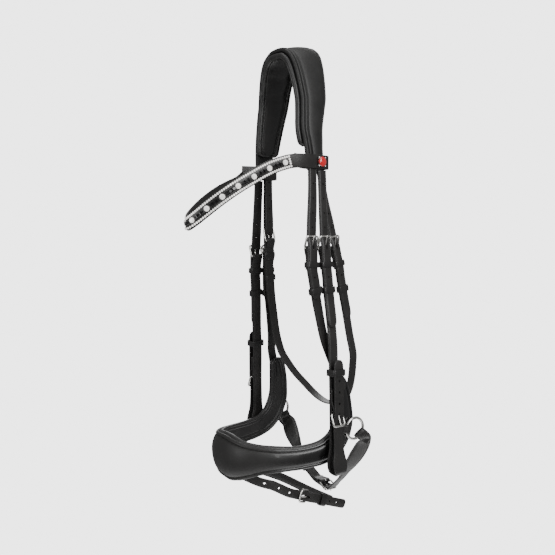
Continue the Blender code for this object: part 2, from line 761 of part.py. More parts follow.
# Outer ply, back edge and inner ply of each end loop: (distance out of the straps' plane, y)
BROW_LOOP = {
    "near": [(5.4, 7), (3.2, 10.4), (-2, 11.6), (-7.2, 10.4), (-8.8, 7), (-8.8, -14), (-8, -24),
             (-1.8, -36), (0.6, -44)],
    "far": [(8.6, 13), (6.4, 16.9), (0.5, 18.2), (-6.6, 16.9), (-8.6, 12), (-8.6, -8), (-8, -17),
            (-2, -30), (0.2, -38)],
}
CRYSTAL_START = 4.6
CRYSTAL_HEIGHT = 14.5


def brow_line():
    return smooth([Vector(p) for p in BROW_ROUTE], 2)


def level_outs(line):
    """Out of a band that runs round the front of the head: level, away from the middle of the head."""
    outs = []
    for point, tangent in zip(line, tangents(line)):
        out = Vector((tangent.y, -tangent.x, 0)).normalized()
        away = point + Vector((0, 60, 0))
        outs.append(out if out.dot(Vector((away.x, away.y, 0))) > 0 else -out)
    return outs


def loop_end(side):
    """The band's end turned back round the headpiece: outer ply, back edge, inner ply."""
    z = BROW_LOOP_Z[side]
    return [on_side(side, y, z, out) for out, y in BROW_LOOP[side]]


def make_browband():
    middle = brow_line()
    near, far = loop_end("near"), loop_end("far")
    line = list(reversed(near)) + middle + far
    ups = Vector((0, 0, 1))
    outs = [tangent.cross(ups).normalized() for tangent in tangents(line)]
    strap("browband", line, outs, BROWBAND_HEIGHT, BROWBAND_LEATHER, BLACK_LEATHER)
    off = BROWBAND_LEATHER / 2 + 3 * GAP + CRYSTAL_DEPTH / 2
    first, last = 4, len(middle) - 5
    stretch = middle[first:last]
    outs = level_outs(middle)[first:last]
    raised = [p + o * off for p, o in zip(stretch, outs)]
    strap("browband_crystals", raised, outs, CRYSTAL_HEIGHT, CRYSTAL_DEPTH, CRYSTAL)


def make_brow_stone():
    """Generic round stone in a square setting, on the outside of the near loop."""
    face = between(FACE_HALF_WIDTH, BROW_LOOP_Z["near"]) + 6.2 + BROWBAND_LEATHER / 2 + GAP
    centre = Vector((face, -6, BROW_LOOP_Z["near"]))
    mesh = bpy.data.meshes.new("browband_stone_setting")
    bm = bmesh.new()
    size = Matrix.Diagonal((1.6 * MM, 12 * MM, 12 * MM)).to_4x4()
    bmesh.ops.create_cube(bm, size=1, matrix=Matrix.Translation((centre + Vector((0.8, 0, 0))) * MM) @ size)
    bm.to_mesh(mesh)
    bm.free()
    setting = add_object("browband_stone_setting", mesh, SILVER)
    bevel = setting.modifiers.new("Corners", "BEVEL")
    bevel.width = 0.5 * MM
    mesh = bpy.data.meshes.new("browband_stone")
    bm = bmesh.new()
    place = Matrix.Translation((centre + Vector((1.6 + GAP, 0, 0))) * MM)
    shape = Matrix.Diagonal((2.6 * MM, 4.6 * MM, 4.6 * MM)).to_4x4()
    bmesh.ops.create_uvsphere(bm, u_segments=12, v_segments=8, radius=1)
    bmesh.ops.transform(bm, matrix=Matrix.Rotation(math.radians(90), 4, "Y"), verts=bm.verts)
    cut = bmesh.ops.bisect_plane(
        bm, geom=bm.verts[:] + bm.edges[:] + bm.faces[:], plane_co=(0.02, 0, 0), plane_no=(1, 0, 0),
        clear_inner=True,
    )
    bmesh.ops.contextual_create(bm, geom=[e for e in cut["geom_cut"] if isinstance(e, bmesh.types.BMEdge)])
    bmesh.ops.transform(bm, matrix=place @ shape, verts=bm.verts)
    bmesh.ops.recalc_face_normals(bm, faces=bm.faces)
    bm.to_mesh(mesh)
    bm.free()
    add_object("browband_stone", mesh, STONE).data.shade_smooth()


# ---------------------------------------------------------------- throatlatch

THROAT_ROUTE = [
    (72, 44.5, -372), (71, 44, -394), (69.5, 41, -414), (64, 39, -428), (52, 38, -437), (36, 40, -441.5),
    (18, 41, -440.5), (0, 41.5, -434), (-15, 38.5, -423), (-30, 34, -410), (-42, 31, -397),
    (-51, 27, -383), (-56, 23.5, -364),
]


def make_throatlatch():
    """One strap from the near throat buckle, under the jaw and up to the far one."""
    line = upper_fold("near", "throat") + hanging_line("near", "throat", -345)
    line += smooth([Vector(p) for p in THROAT_ROUTE], 2)
    up = upper_fold("far", "throat") + hanging_line("far", "throat", -345)
    line += list(reversed(up))
    near, far = upper_buckle_frame("near", "throat"), upper_buckle_frame("far", "throat")
    outs = cross_outs(line, start=near, end=far)
    obj = strap("throatlatch", line, outs, THROAT_WIDTH, CHAPE_LEATHER, BLACK_LEATHER)
    for side in SIDES:
        tongue_slot(obj, upper_buckle_frame(side, "throat"))
        fixed_keeper(obj, side, "throat")


# ---------------------------------------------------------------- chin strap

CHIN_ROUTE = [
    (-76, 63, -498), (-68, 60.5, -508.5), (-58, 58.5, -520.5), (-45, 56, -532.5), (-30, 54, -544),
    (-12, 52.5, -553.5), (6, 50.5, -558.5), (21, 48, -560), (34, 46, -556.5), (46, 45.5, -547.5),
    (56, 46, -535.5), (66, 47, -520.5), (75, 48.5, -506), (82, 50, -494), (87.5, 50, -484),
]
CHIN_BAR_X = 14.0
CHIN_RUNNER_X = -24.0
CHIN_TIP_X = -48.0
CHIN_AT_RING = 11.0
# How far below level the chin strap pulls on each ring, in degrees
CHIN_PULL = {"near": 42.0, "far": 62.0}


def chin_line():
    return smooth([Vector(p) for p in CHIN_ROUTE], 3)


def below(tangent):
    """The lower side of a strap that runs across under the chin."""
    out = tangent.cross(Vector((0, 1, 0))).normalized()
    return out if out.z < 0 else -out


def chin_buckle_frame():
    line = chin_line()
    bar = min(range(len(line)), key=lambda i: abs(line[i].x - CHIN_BAR_X))
    tangent = (line[bar + 1] - line[bar - 1]).normalized()
    frame = Frame(line[bar], tangent, below(tangent))
    frame.origin = frame.at(0, -FOLD_RADIUS)
    return frame


def ring_hang(side):
    """Frame on the ring where the chin strap pulls, whose first axis points to the ring's middle."""
    pull = math.radians(CHIN_PULL[side])
    towards = yawed((0, -math.cos(pull), math.sin(pull)))
    return Frame(ring_centre(side) - towards * RING_RADIUS, towards, yawed(outward(side)))


def chin_width(share):
    return CHIN_AT_RING + (CHIN_WIDTH - CHIN_AT_RING) * min(max((share - 0.15) * 6, 0), 1)


def make_chin_strap():
    frame, line = chin_buckle_frame(), chin_line()
    before = [p for p in line if (p - frame.origin).dot(frame.along) < -24]
    after = [p for p in line if (p - frame.origin).dot(frame.along) > FRAME_LENGTH + 8]
    at_ring = {}
    for side in SIDES:
        hang = ring_hang(side)
        at_ring[side] = chape_fold(hang, ply_end=-16, bar=RING_WIRE + 0.4, room=2.6)
        at_ring[side].append(hang.at(-6, RING_WIRE + 0.4 + GAP + CHAPE_LEATHER / 2))
    fold = [frame.at(-18, FOLD_RADIUS), frame.at(-8, FOLD_RADIUS), *reversed(chape_fold(frame, ply_end=-17))]
    far = at_ring["far"] + before + fold
    outs = cross_outs(far, start=ring_hang("far"), end=frame)
    obj = strap("chin_strap_far", far, outs, chin_width, CHAPE_LEATHER, BLACK_LEATHER)
    tongue_slot(obj, frame)
    near = at_ring["near"] + list(reversed(after))
    near += [frame.at(FRAME_LENGTH + 4, 0.8), frame.at(FRAME_LENGTH, BILLET_AT_FAR_BAR)]
    near += [frame.at(FRAME_LENGTH / 2, (BILLET_AT_FAR_BAR + BILLET_OVER_BAR) / 2)]
    near += [frame.at(along, BILLET_OVER_BAR) for along in (1, -8, -18)]
    lift = BILLET_OVER_BAR - FOLD_RADIUS
    ways = tangents(line)
    tip = [p + below(way) * lift for p, way in zip(line, ways) if p in before and p.x > CHIN_TIP_X]
    near = tip_line(near + list(reversed(tip)), CHIN_WIDTH)
    outs = cross_outs(near, start=ring_hang("near"))
    obj = strap("chin_strap_near", near, outs, chin_width, CHAPE_LEATHER, BLACK_LEATHER, round_end=True)
    billet_slot(obj, frame)
    buckle_frame("chin_buckle", frame, CHIN_WIDTH)
    buckle_tongue("chin_tongue", frame)
    at = min(range(len(line)), key=lambda i: abs(line[i].x - CHIN_RUNNER_X))
    place = Frame(line[at], ways[at], below(ways[at]))
    keeper("chin_runner", place, CHIN_WIDTH, -CHAPE_LEATHER / 2 - 0.45, lift + CHAPE_LEATHER / 2 + 0.8, 9)


# ---------------------------------------------------------------- flash strap

FLASH_FRONT = (-12.6, -92.6, -514)
FLASH_NEAR = [(5, -93, -514.5), (20, -89, -517), (33, -80, -521.5), (42.5, -67.5, -526)]
FLASH_FAR = [(53.5, 21, -565.5), (50, 29, -569), (41, 33, -571), (26, 29, -569), (6, 19, -563),
             (-20, 2, -552), (-42, -22, -541), (-53, -45, -531), (-51, -64, -523), (-42, -78.5, -518),
             (-28, -89, -514.5)]
FLASH_BAR = (55, -19, -549.5)
FLASH_ALONG = (-0.06, -0.93, 0.37)
# Below the flash buckle's bar: where the fold's hidden ply ends, the runner's middle, and where the straight
# stretch that the runner slides on ends
FLASH_PLY_END = -14.0
FLASH_RUNNER = -24.5
FLASH_STRAIGHT = -34.0


def flash_buckle_frame():
    frame = Frame(Vector(FLASH_BAR), Vector(FLASH_ALONG), Vector((1, 0, 0)))
    frame.origin = frame.at(0, -FOLD_RADIUS)
    return frame


def make_flash_strap():
    frame = flash_buckle_frame()
    line = chape_fold(frame, ply_end=FLASH_PLY_END)
    line += [frame.at(-8, FOLD_RADIUS), frame.at(FLASH_STRAIGHT, FOLD_RADIUS)]
    line += smooth([Vector(p) for p in [*FLASH_FAR, FLASH_FRONT, *FLASH_NEAR]], 2)
    line += [frame.at(FRAME_LENGTH + 14, -0.8), frame.at(FRAME_LENGTH + 6, 0.8)]
    line += [frame.at(FRAME_LENGTH, BILLET_AT_FAR_BAR - 0.4)]
    line += [frame.at(FRAME_LENGTH / 2, (BILLET_AT_FAR_BAR + BILLET_OVER_BAR) / 2)]
    line += [frame.at(s, BILLET_OVER_BAR) for s in (1, -15, -30, -45, -66)]
    ways = tangents(line)
    outs = [way.cross(-frame.across).normalized() for way in ways[:FOLD_STATIONS]]
    outs += [Vector((-way.y, way.x, 0)).normalized() for way in ways[FOLD_STATIONS:]]
    obj = strap("flash_strap", line, outs, FLASH_WIDTH, CHAPE_LEATHER, BLACK_LEATHER)
    tongue_slot(obj, frame)
    billet_slot(obj, frame)
    buckle_frame("flash_buckle", frame, FLASH_WIDTH)
    buckle_tongue("flash_tongue", frame)
    lift = BILLET_OVER_BAR + CHAPE_LEATHER / 2 + 0.8
    keeper("flash_runner", Frame(frame.at(FLASH_RUNNER), frame.along, frame.out), FLASH_WIDTH,
           FOLD_RADIUS - CHAPE_LEATHER / 2 - 0.5, lift, 8)


def make_flash_tab():
    """Folded loop under the front of the noseband, which the flash strap passes through."""
    outline = [(-1.8, 16), (-1.8, 8), (-1.8, -5.5), (-1.2, -7.6), (0.5, -8.3), (2, -7.6), (2.5, -5.5),
               (2.5, 4), (1.6, 8), (-0.1, 11), (-0.2, 16)]
    line = [yawed((0, y, z)) + Vector(FLASH_FRONT) for y, z in outline]
    outs = [tangent.cross(yawed((1, 0, 0))).normalized() for tangent in tangents(line)]
    strap("flash_tab", line, outs, FLASH_TAB_WIDTH, THIN_LEATHER, BLACK_LEATHER)


# ---------------------------------------------------------------- assembly


def make_side(side):
    for kind in ("noseband", "cheek", "throat"):
        make_billet(side, kind)
        frame = upper_buckle_frame(side, kind)
        buckle_frame(f"{kind}_buckle_{side}", frame, WIDTHS[kind])
        buckle_tongue(f"{kind}_tongue_{side}", frame)
        runner(side, kind, UPPER_BAR[side, kind] - 52)
    make_cheekpiece(side)
    make_bit_chape(side)
    make_bit_runner(side)
    frame = bit_buckle_frame(side)
    buckle_frame(f"bit_buckle_{side}", frame, STRAP_WIDTH)
    buckle_tongue(f"bit_tongue_{side}", frame)
    make_hanger(side)
    make_ring(side)
    make_ring_tab(side)


clear_scene()
PARTS = new_collection("snaffle_bridle")
CUTTERS = new_collection("cutters")
SEAT = bpy.data.objects.new("seat", None)
SEAT.location.z = -SEAT_HEIGHT * MM
PARTS.objects.link(SEAT)
make_headpiece()
for SIDE in SIDES:
    make_side(SIDE)
make_nosepiece()
make_browband()
make_brow_stone()
make_throatlatch()
make_chin_strap()
make_flash_strap()
make_flash_tab()
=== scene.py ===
"""Looks of the snaffle bridle: leather, padding, stitching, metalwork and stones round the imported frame.

The tables of routes repeat the frame's own design, in millimetres. Heights in them are measured from a level
12 mm under the seat, and placed() turns such a point into the frame's metres.
"""

import json
import math

import bmesh
import bpy
from mathutils import Matrix, Vector, noise

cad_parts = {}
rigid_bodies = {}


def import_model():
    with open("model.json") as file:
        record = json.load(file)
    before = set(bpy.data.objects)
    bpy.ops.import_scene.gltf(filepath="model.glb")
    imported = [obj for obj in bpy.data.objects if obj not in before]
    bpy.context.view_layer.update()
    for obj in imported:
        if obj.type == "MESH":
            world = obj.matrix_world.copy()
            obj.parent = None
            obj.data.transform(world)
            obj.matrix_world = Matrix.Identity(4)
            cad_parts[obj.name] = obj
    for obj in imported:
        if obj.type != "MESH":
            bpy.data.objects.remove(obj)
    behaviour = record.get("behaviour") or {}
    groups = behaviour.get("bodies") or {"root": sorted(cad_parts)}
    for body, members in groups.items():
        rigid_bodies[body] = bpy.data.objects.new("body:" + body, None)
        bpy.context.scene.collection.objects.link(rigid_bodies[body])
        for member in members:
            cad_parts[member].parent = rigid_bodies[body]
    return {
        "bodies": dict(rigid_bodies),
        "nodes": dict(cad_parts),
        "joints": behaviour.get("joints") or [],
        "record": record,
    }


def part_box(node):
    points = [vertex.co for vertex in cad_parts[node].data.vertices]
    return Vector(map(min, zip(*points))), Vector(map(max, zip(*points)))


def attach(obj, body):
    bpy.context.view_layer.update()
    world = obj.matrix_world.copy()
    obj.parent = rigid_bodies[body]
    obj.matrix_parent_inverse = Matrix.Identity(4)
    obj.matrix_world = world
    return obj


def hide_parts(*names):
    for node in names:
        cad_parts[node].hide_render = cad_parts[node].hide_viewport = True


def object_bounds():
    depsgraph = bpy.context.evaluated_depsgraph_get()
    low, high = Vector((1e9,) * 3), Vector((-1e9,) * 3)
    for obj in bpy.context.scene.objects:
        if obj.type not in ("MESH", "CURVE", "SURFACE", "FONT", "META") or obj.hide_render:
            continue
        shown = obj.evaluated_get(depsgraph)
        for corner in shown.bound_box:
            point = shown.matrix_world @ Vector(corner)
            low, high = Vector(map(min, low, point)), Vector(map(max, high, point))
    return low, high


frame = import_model()
CAD_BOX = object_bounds()

MM = 0.001
GAP = 0.3
SIDES = {"near": 1, "far": -1}
SEAT_HEIGHT = 12.0
OWNER = {
    node: body for body, nodes in frame["record"]["behaviour"]["bodies"].items() for node in nodes
}


# ---------------------------------------------------------------- camera, light and stage

# The world lights the bridle softly, and is seen as a white wall behind it
WORLD_LIGHT, WORLD_SEEN = 0.26, 3.6
FLOOR_RADIUS = 0.48


def make_camera():
    """A long lens a little above the middle of the bridle, from its front on the near side."""
    data = bpy.data.cameras.new("camera")
    data.lens = 41.51
    data.sensor_width = 36
    data.clip_start = 0.05
    camera = bpy.data.objects.new("camera", data)
    camera.location = (0.6396, -0.5602, -0.227)
    camera.rotation_euler = (math.radians(86.11), 0, math.radians(50))
    bpy.context.collection.objects.link(camera)
    bpy.context.scene.camera = camera


# Soft panels that face the middle of the bridle: place and size in metres, and power in watts
LIT_POINT = (0, 0, -0.28)
PANELS = {
    "key_panel": ((1.3, -0.1, 0.55), (0.7, 1.2), 14),
    "front_panel": ((-0.1, -1.6, 0.25), (0.7, 1.3), 10),
    "back_panel": ((-1.3, 1.2, 0.5), (1.2, 1.3), 12),
    "gloss_strip": ((1.25, -0.45, 0.0), (0.1, 0.9), 3.5),
    "top_panel": ((0.1, -0.1, 1.2), (1.1, 1.1), 8),
}


def make_light(name, place, size, power):
    data = bpy.data.lights.new(name, "AREA")
    data.shape = "RECTANGLE"
    data.size, data.size_y = size
    data.energy = power
    light = bpy.data.objects.new(name, data)
    light.location = place
    light.rotation_euler = (Vector(LIT_POINT) - Vector(place)).to_track_quat("-Z", "Y").to_euler()
    bpy.context.collection.objects.link(light)


def make_studio():
    for name, (place, size, power) in PANELS.items():
        make_light(name, place, size, power)
    world = bpy.data.worlds.new("studio")
    world.use_nodes = True
    tree = world.node_tree
    seen = tree.nodes.new("ShaderNodeLightPath").outputs["Is Camera Ray"]
    strength = tree.nodes.new("ShaderNodeMapRange")
    strength.inputs["To Min"].default_value = WORLD_LIGHT
    strength.inputs["To Max"].default_value = WORLD_SEEN
    tree.links.new(seen, strength.inputs["Value"])
    background = tree.nodes["Background"]
    background.inputs["Color"].default_value = (1, 1, 1, 1)
    tree.links.new(strength.outputs[0], background.inputs["Strength"])
    bpy.context.scene.world = world


def make_floor():
    """A pale round floor far below, which the photograph's view passes over."""
    mesh = bpy.data.meshes.new("floor")
    bm = bmesh.new()
    bmesh.ops.create_circle(bm, cap_ends=True, segments=96, radius=FLOOR_RADIUS)
    bm.to_mesh(mesh)
    bm.free()
    floor = bpy.data.objects.new("floor", mesh)
    floor.location.z = CAD_BOX[0].z - 0.35
    bpy.context.collection.objects.link(floor)
    made = bpy.data.materials.new("pale_floor")
    made.use_nodes = True
    shader = made.node_tree.nodes["Principled BSDF"]
    shader.inputs["Base Color"].default_value = (0.93, 0.93, 0.93, 1)
    shader.inputs["Roughness"].default_value = 0.9
    shader.inputs["Emission Color"].default_value = (1, 1, 1, 1)
    shader.inputs["Emission Strength"].default_value = 0.8
    floor.data.materials.append(made)


# ---------------------------------------------------------------- materials


class Nodes:
    """A material's node tree, with short ways to add to it."""

    def __init__(self, name):
        self.material = bpy.data.materials.new(name)
        self.material.use_nodes = True
        self.tree = self.material.node_tree
        self.shader = self.tree.nodes["Principled BSDF"]
        self.place = self.tree.nodes.new("ShaderNodeTexCoord").outputs["Object"]

    def put(self, kind, inputs=None, **settings):
        node = self.tree.nodes.new(kind)
        for key, value in settings.items():
            setattr(node, key, value)
        for key, value in (inputs or {}).items():
            if isinstance(value, bpy.types.NodeSocket):
                self.tree.links.new(value, node.inputs[key])
            else:
                node.inputs[key].default_value = value
        return node

    def noise(self, scale, detail=3.0, roughness=0.55, stretch=None):
        place = self.place
        if stretch:
            place = self.put("ShaderNodeMapping", {"Vector": place, "Scale": stretch}).outputs[0]
        inputs = {"Vector": place, "Scale": scale, "Detail": detail, "Roughness": roughness}
        return self.put("ShaderNodeTexNoise", inputs).outputs["Fac"]

    def ramp(self, factor, low, high, first, second):
        """A colour that runs from first, at low, to second, at high."""
        node = self.put("ShaderNodeValToRGB", {"Fac": factor})
        for element, at, colour in zip(node.color_ramp.elements, (low, high), (first, second)):
            element.position = at
            element.color = (*colour, 1)
        return node.outputs["Color"]

    def spread(self, factor, low, high):
        """A number from 0 to 1 spread between low and high."""
        return self.put("ShaderNodeMapRange", {"Value": factor, "To Min": low, "To Max": high}).outputs[0]

    def wire(self, socket, value):
        if isinstance(value, bpy.types.NodeSocket):
            self.tree.links.new(value, self.shader.inputs[socket])
        else:
            self.shader.inputs[socket].default_value = value

    def bump(self, layers):
        """Bump from (height, strength, distance in metres) layers, the last one finest."""
        normal = None
        for height, strength, distance in layers:
            inputs = {"Height": height, "Strength": strength, "Distance": distance}
            if normal is not None:
                inputs["Normal"] = normal
            normal = self.put("ShaderNodeBump", inputs).outputs[0]
        self.wire("Normal", normal)


def leather(name, dark, light, rough, grain, pores=1.0, coat=0.0):
    """Leather: pebbled grain of a given size in metres, fine pores, and colour that wanders a little."""
    made = Nodes(name)
    cells = made.put(
        "ShaderNodeTexVoronoi", {"Vector": made.place, "Scale": 1 / grain, "Randomness": 1.0},
        feature="DISTANCE_TO_EDGE",
    ).outputs["Distance"]
    pebble = made.put("ShaderNodeMath", {0: cells, 1: 3.2}, operation="MULTIPLY", use_clamp=True).outputs[0]
    fine = made.noise(1 / (grain * 0.35), 4)
    patches = made.noise(38, 3)
    wear = made.noise(150, 4, 0.65)
    made.wire("Base Color", made.ramp(patches, 0.32, 0.7, dark, light))
    made.wire("Roughness", made.spread(wear, rough - 0.1, rough + 0.12))
    made.wire("IOR", 1.5)
    made.wire("Coat Weight", coat)
    made.wire("Coat Roughness", 0.3)
    made.bump([(patches, 0.12, 0.0012), (pebble, 0.3 * pores, 0.00012), (fine, 0.35 * pores, 0.00006)])
    return made.material


def noseband_leather():
    """Dull at the front of the nose and polished on the arms, as the hide is rubbed there."""
    made = Nodes("noseband_leather")
    split = made.put("ShaderNodeSeparateXYZ", {"Vector": made.place}).outputs["Y"]
    arm = made.put(
        "ShaderNodeMapRange", {"Value": split, "From Min": -0.085, "From Max": -0.035}
    ).outputs[0]
    wear = made.spread(made.noise(150, 4, 0.65), -0.06, 0.08)
    base = made.put(
        "ShaderNodeMapRange", {"Value": arm, "To Min": 0.5, "To Max": 0.24}
    ).outputs[0]
    made.wire("Roughness", made.put("ShaderNodeMath", {0: base, 1: wear}).outputs[0])
    tints = {"Factor": arm, "A": (0.016, 0.0152, 0.0147, 1), "B": (0.006, 0.0058, 0.006, 1)}
    colour = made.put("ShaderNodeMix", tints, data_type="RGBA")
    made.wire("Base Color", colour.outputs["Result"])
    fine = made.noise(2600, 4)
    cells = made.put(
        "ShaderNodeTexVoronoi", {"Vector": made.place, "Scale": 1100}, feature="DISTANCE_TO_EDGE",
    ).outputs["Distance"]
    made.wire("Coat Weight", made.put("ShaderNodeMath", {0: arm, 1: 0.5}, operation="MULTIPLY").outputs[0])
    made.wire("Coat Roughness", 0.14)
    made.bump([(made.noise(30, 2), 0.15, 0.0015), (cells, 0.22, 0.0001), (fine, 0.2, 0.00005)])
    return made.material


def metal(name, colour, rough):
    made = Nodes(name)
    made.wire("Base Color", made.ramp(made.noise(220, 3), 0.3, 0.75, tuple(c * 0.88 for c in colour), colour))
    made.wire("Metallic", 1.0)
    made.wire("Roughness", made.spread(made.noise(900, 4, stretch=(1, 1, 0.2)), rough - 0.05, rough + 0.08))
    made.bump([(made.noise(1800, 3), 0.08, 0.00004)])
    return made.material


def stone(name, colour, rough, metallic=0.0, coat=1.0, ior=1.7, painted_glow=0.0):
    """A glass stone on foil, with a faint variation from stone to stone. Its emission is painted light: a
    painted glow that stands in for the sparkle of lit facets.
    """
    made = Nodes(name)
    shade = made.noise(420, 1)
    made.wire("Base Color", made.ramp(shade, 0.35, 0.65, tuple(c * 0.72 for c in colour), colour))
    made.wire("Roughness", made.spread(made.noise(600, 2), rough, rough + 0.05))
    made.wire("Metallic", metallic)
    made.wire("IOR", ior)
    made.wire("Coat Weight", coat)
    made.wire("Coat Roughness", 0.03)
    # Painted light: the stone glows in its own colour, a painted sparkle
    made.wire("Emission Color", (*colour, 1))
    made.wire("Emission Strength", painted_glow)
    return made.material


def thread(name, colour):
    """Waxed thread, with its twist along the stitches."""
    made = Nodes(name)
    made.wire("Base Color", made.ramp(made.noise(900, 3), 0.3, 0.7, tuple(c * 0.6 for c in colour), colour))
    made.wire("Roughness", made.spread(made.noise(1500, 2), 0.45, 0.7))
    made.bump([(made.noise(3200, 2, stretch=(1, 1, 2)), 0.5, 0.0001)])
    return made.material


STRAP_LEATHER = leather(
    "strap_leather", (0.0125, 0.0115, 0.0112), (0.024, 0.0225, 0.0215), rough=0.4, grain=0.0009, coat=0.12
)
CROWN_LEATHER = leather(
    "crown_leather", (0.009, 0.0087, 0.0084), (0.017, 0.0166, 0.016), rough=0.48, grain=0.0011
)
SOFT_LEATHER = leather(
    "lining_leather", (0.013, 0.0125, 0.0125), (0.026, 0.025, 0.0245), rough=0.42, grain=0.0013,
    pores=1.3, coat=0.15,
)
EDGE_LEATHER = leather(
    "keeper_leather", (0.009, 0.0083, 0.0083), (0.018, 0.017, 0.0165), rough=0.34, grain=0.0008, coat=0.2
)
# The piping's leather is glossier and lighter than the lining's: its lighter colour is a painted highlight
# along the piped edges
PIPING_LEATHER = leather(
    "piping_leather", (0.02, 0.0192, 0.0185), (0.04, 0.0385, 0.037), rough=0.26, grain=0.0009,
    pores=0.4, coat=0.5,
)
NOSE_LEATHER_LOOK = noseband_leather()
THREAD = thread("black_thread", (0.03, 0.029, 0.028))
SILVER = metal("polished_silver", (0.86, 0.85, 0.82), 0.16)
# The clear stones glow strongly: painted light, a painted sparkle that makes them read bright white
CLEAR_STONE = stone("clear_stone", (0.97, 0.95, 0.92), 0.12, metallic=0.2, painted_glow=0.8)
BLACK_STONE = stone("black_stone", (0.007, 0.0065, 0.007), 0.12, coat=0.15, ior=1.5)
# The red stone glows faintly: painted light that brightens its red
RED_STONE = stone("red_glass", (0.72, 0.006, 0.01), 0.06, painted_glow=0.12)
SETTING = metal("stone_setting", (0.09, 0.085, 0.08), 0.3)


# ---------------------------------------------------------------- the frame's tables and routes

# Half the width between the two sides' straps, against the height
FACE_HALF_WIDTH = [(-100, 52.5), (-125, 56), (-240, 64), (-370, 71), (-450, 78), (-510, 80), (-620, 80)]

# The straps' looks are a little broader than the frame's, except where they run through a loop
STRAP_WIDTH = 15.6
THROAT_WIDTH = 13.4
BROADER = 1.6
LEATHER = 2.2
CHAPE_LEATHER = 1.8
THIN_LEATHER = 1.2

WIRE_RADIUS = 1.2
TONGUE_RADIUS = 0.9
FRAME_LENGTH = 15.0
FRAME_RISE = 5.0
TONGUE_ANGLE = 18.6
TONGUE_WRAP = 235
HOLE_RADIUS = 1.5
HOLE_SPACING = 18.0
BILLET_HOLE = 1.15
SLOT_RADIUS, SLOT_STRETCH = TONGUE_RADIUS + 0.6, 4.6
# Thickness of the leather in a keeper or runner, and how far its sides stand off the strap
LOOP_LEATHER, LOOP_ROOM = 1.3, 0.4

HEADPIECE_LEATHER = 3.0
HEADPIECE_PAD = 6.0
BROWBAND_HEIGHT = 17.0
BROWBAND_LEATHER = 2.4

NOSE_LEATHER = 3.0
NOSE_PAD = 6.0
RING_RADIUS = 13.5
RING_WIRE = 1.8
RING_PLACE = (79.0, 39.5)
RING_HEIGHT = {"near": -461.5, "far": -475.0}
FLASH_WIDTH = 12.0
FLASH_TAB_WIDTH = 16.0
RING_TAB_WIDTH = 12.0
CHIN_WIDTH = 15.0

# Height of the bar of each upper buckle, and of the bit buckles and bit loops, as the bridle hangs
UPPER_BAR = {
    ("near", "noseband"): -233.0, ("near", "cheek"): -233.0, ("near", "throat"): -233.0,
    ("far", "noseband"): -246.0, ("far", "cheek"): -246.0, ("far", "throat"): -224.0,
}
BELOW_FOLD = 36.0
BIT_BAR = {"near": -436.0, "far": -422.0}
LOOP_BOTTOM = {"near": -513.0, "far": -500.0}


def between(table, at):
    """Linear reading of a table of (position, value), sorted by falling position."""
    for (high, first), (low, second) in zip(table, table[1:]):
        if at >= low:
            share = (high - at) / (high - low)
            return first + (second - first) * max(share, 0)
    return table[-1][1]


def smooth(points, steps=4):
    """Catmull-Rom curve through the points, each a Vector."""
    ends = [2 * points[0] - points[1], *points, 2 * points[-1] - points[-2]]
    line = []
    for a, b, c, d in zip(ends, ends[1:], ends[2:], ends[3:]):
        for i in range(steps):
            t = i / steps
            line.append(
                0.5
                * (2 * b + (c - a) * t + (2 * a - 5 * b + 4 * c - d) * t**2
                   + (3 * b - a - 3 * c + d) * t**3)
            )
    return [*line, points[-1].copy()]


def tangents(line, closed=False):
    last = len(line) - 1
    found = []
    for i in range(len(line)):
        before = line[i - 1] if i or closed else line[0]
        after = line[(i + 1) % (last + 1)] if i < last or closed else line[last]
        found.append((after - before).normalized())
    return found


def on_side(side, y, z, out=0.0):
    """A point on one side of the head, at a distance outside the plane of the straps."""
    return Vector((SIDES[side] * (between(FACE_HALF_WIDTH, z) + out), y, z))


def side_of(point):
    return "near" if point.x > 0 else "far"


def outward(side):
    return Vector((SIDES[side], 0, 0))


class Frame:
    """Local axes: along a strap, across it, and out of its face."""

    def __init__(self, origin, along, out):
        self.origin = origin
        self.along = along.normalized()
        self.across = self.along.cross(out).normalized()
        self.out = self.across.cross(self.along).normalized()

    def at(self, along, out=0.0, across=0.0):
        return self.origin + self.along * along + self.out * out + self.across * across

    def arc(self, degrees, long, high, along=0.0, out=0.0):
        """Points at some angles round an ellipse that is long along the strap and high out of its face."""
        turns = [math.radians(turn) for turn in degrees]
        return [self.at(along + long * math.cos(t), out + high * math.sin(t)) for t in turns]


# In a buckle's frame the bar lies at (0, 0), the frame's far bar at (FRAME_LENGTH, FRAME_RISE), and the
# strap end that the buckle holds passes under the far bar and over the bar.
FOLD_RADIUS = WIRE_RADIUS + GAP + CHAPE_LEATHER / 2
BILLET_OVER_BAR = WIRE_RADIUS + GAP + CHAPE_LEATHER + GAP + LEATHER / 2
BILLET_AT_FAR_BAR = FRAME_RISE - WIRE_RADIUS - GAP - LEATHER / 2


def chape_fold(frame, leather=CHAPE_LEATHER, ply_end=-20.0, bar=WIRE_RADIUS, room=0.4):
    """Line of a strap end folded round a bar, from the hidden ply's end to the outer ply's start. The fold
    stands off the bar by room at its tip."""
    radius = bar + GAP + leather / 2
    inner = radius - leather - GAP
    line = [frame.at(ply_end, inner), frame.at(-11, inner), frame.at(-6, (inner - radius) / 2)]
    return line + frame.arc((-100, -60, -20, 20, 60, 100), radius + room, radius)


ARCH = [(-47, -137), (-45.5, -110), (-42, -80), (-36.5, -48), (-29, -18), (-20, 3), (-10, SEAT_HEIGHT)]
CROWN_WIDTH = [(SEAT_HEIGHT, 52), (-45, 42), (-85, 35), (-110, 29), (-137, 27)]
CROWN_CENTRE = {
    "near": [(SEAT_HEIGHT, 0), (-45, -3), (-85, -12), (-110, -11), (-137, -9)],
    "far": [(SEAT_HEIGHT, 0), (-45, 3), (-85, 0), (-110, -1), (-137, -1)],
}
CROWN_TILT = [(SEAT_HEIGHT, 10), (-45, 3), (-137, 0)]
PAD_EDGE = 3.0
PAD_END, NEAR_PAD_END = -117.0, -107.0


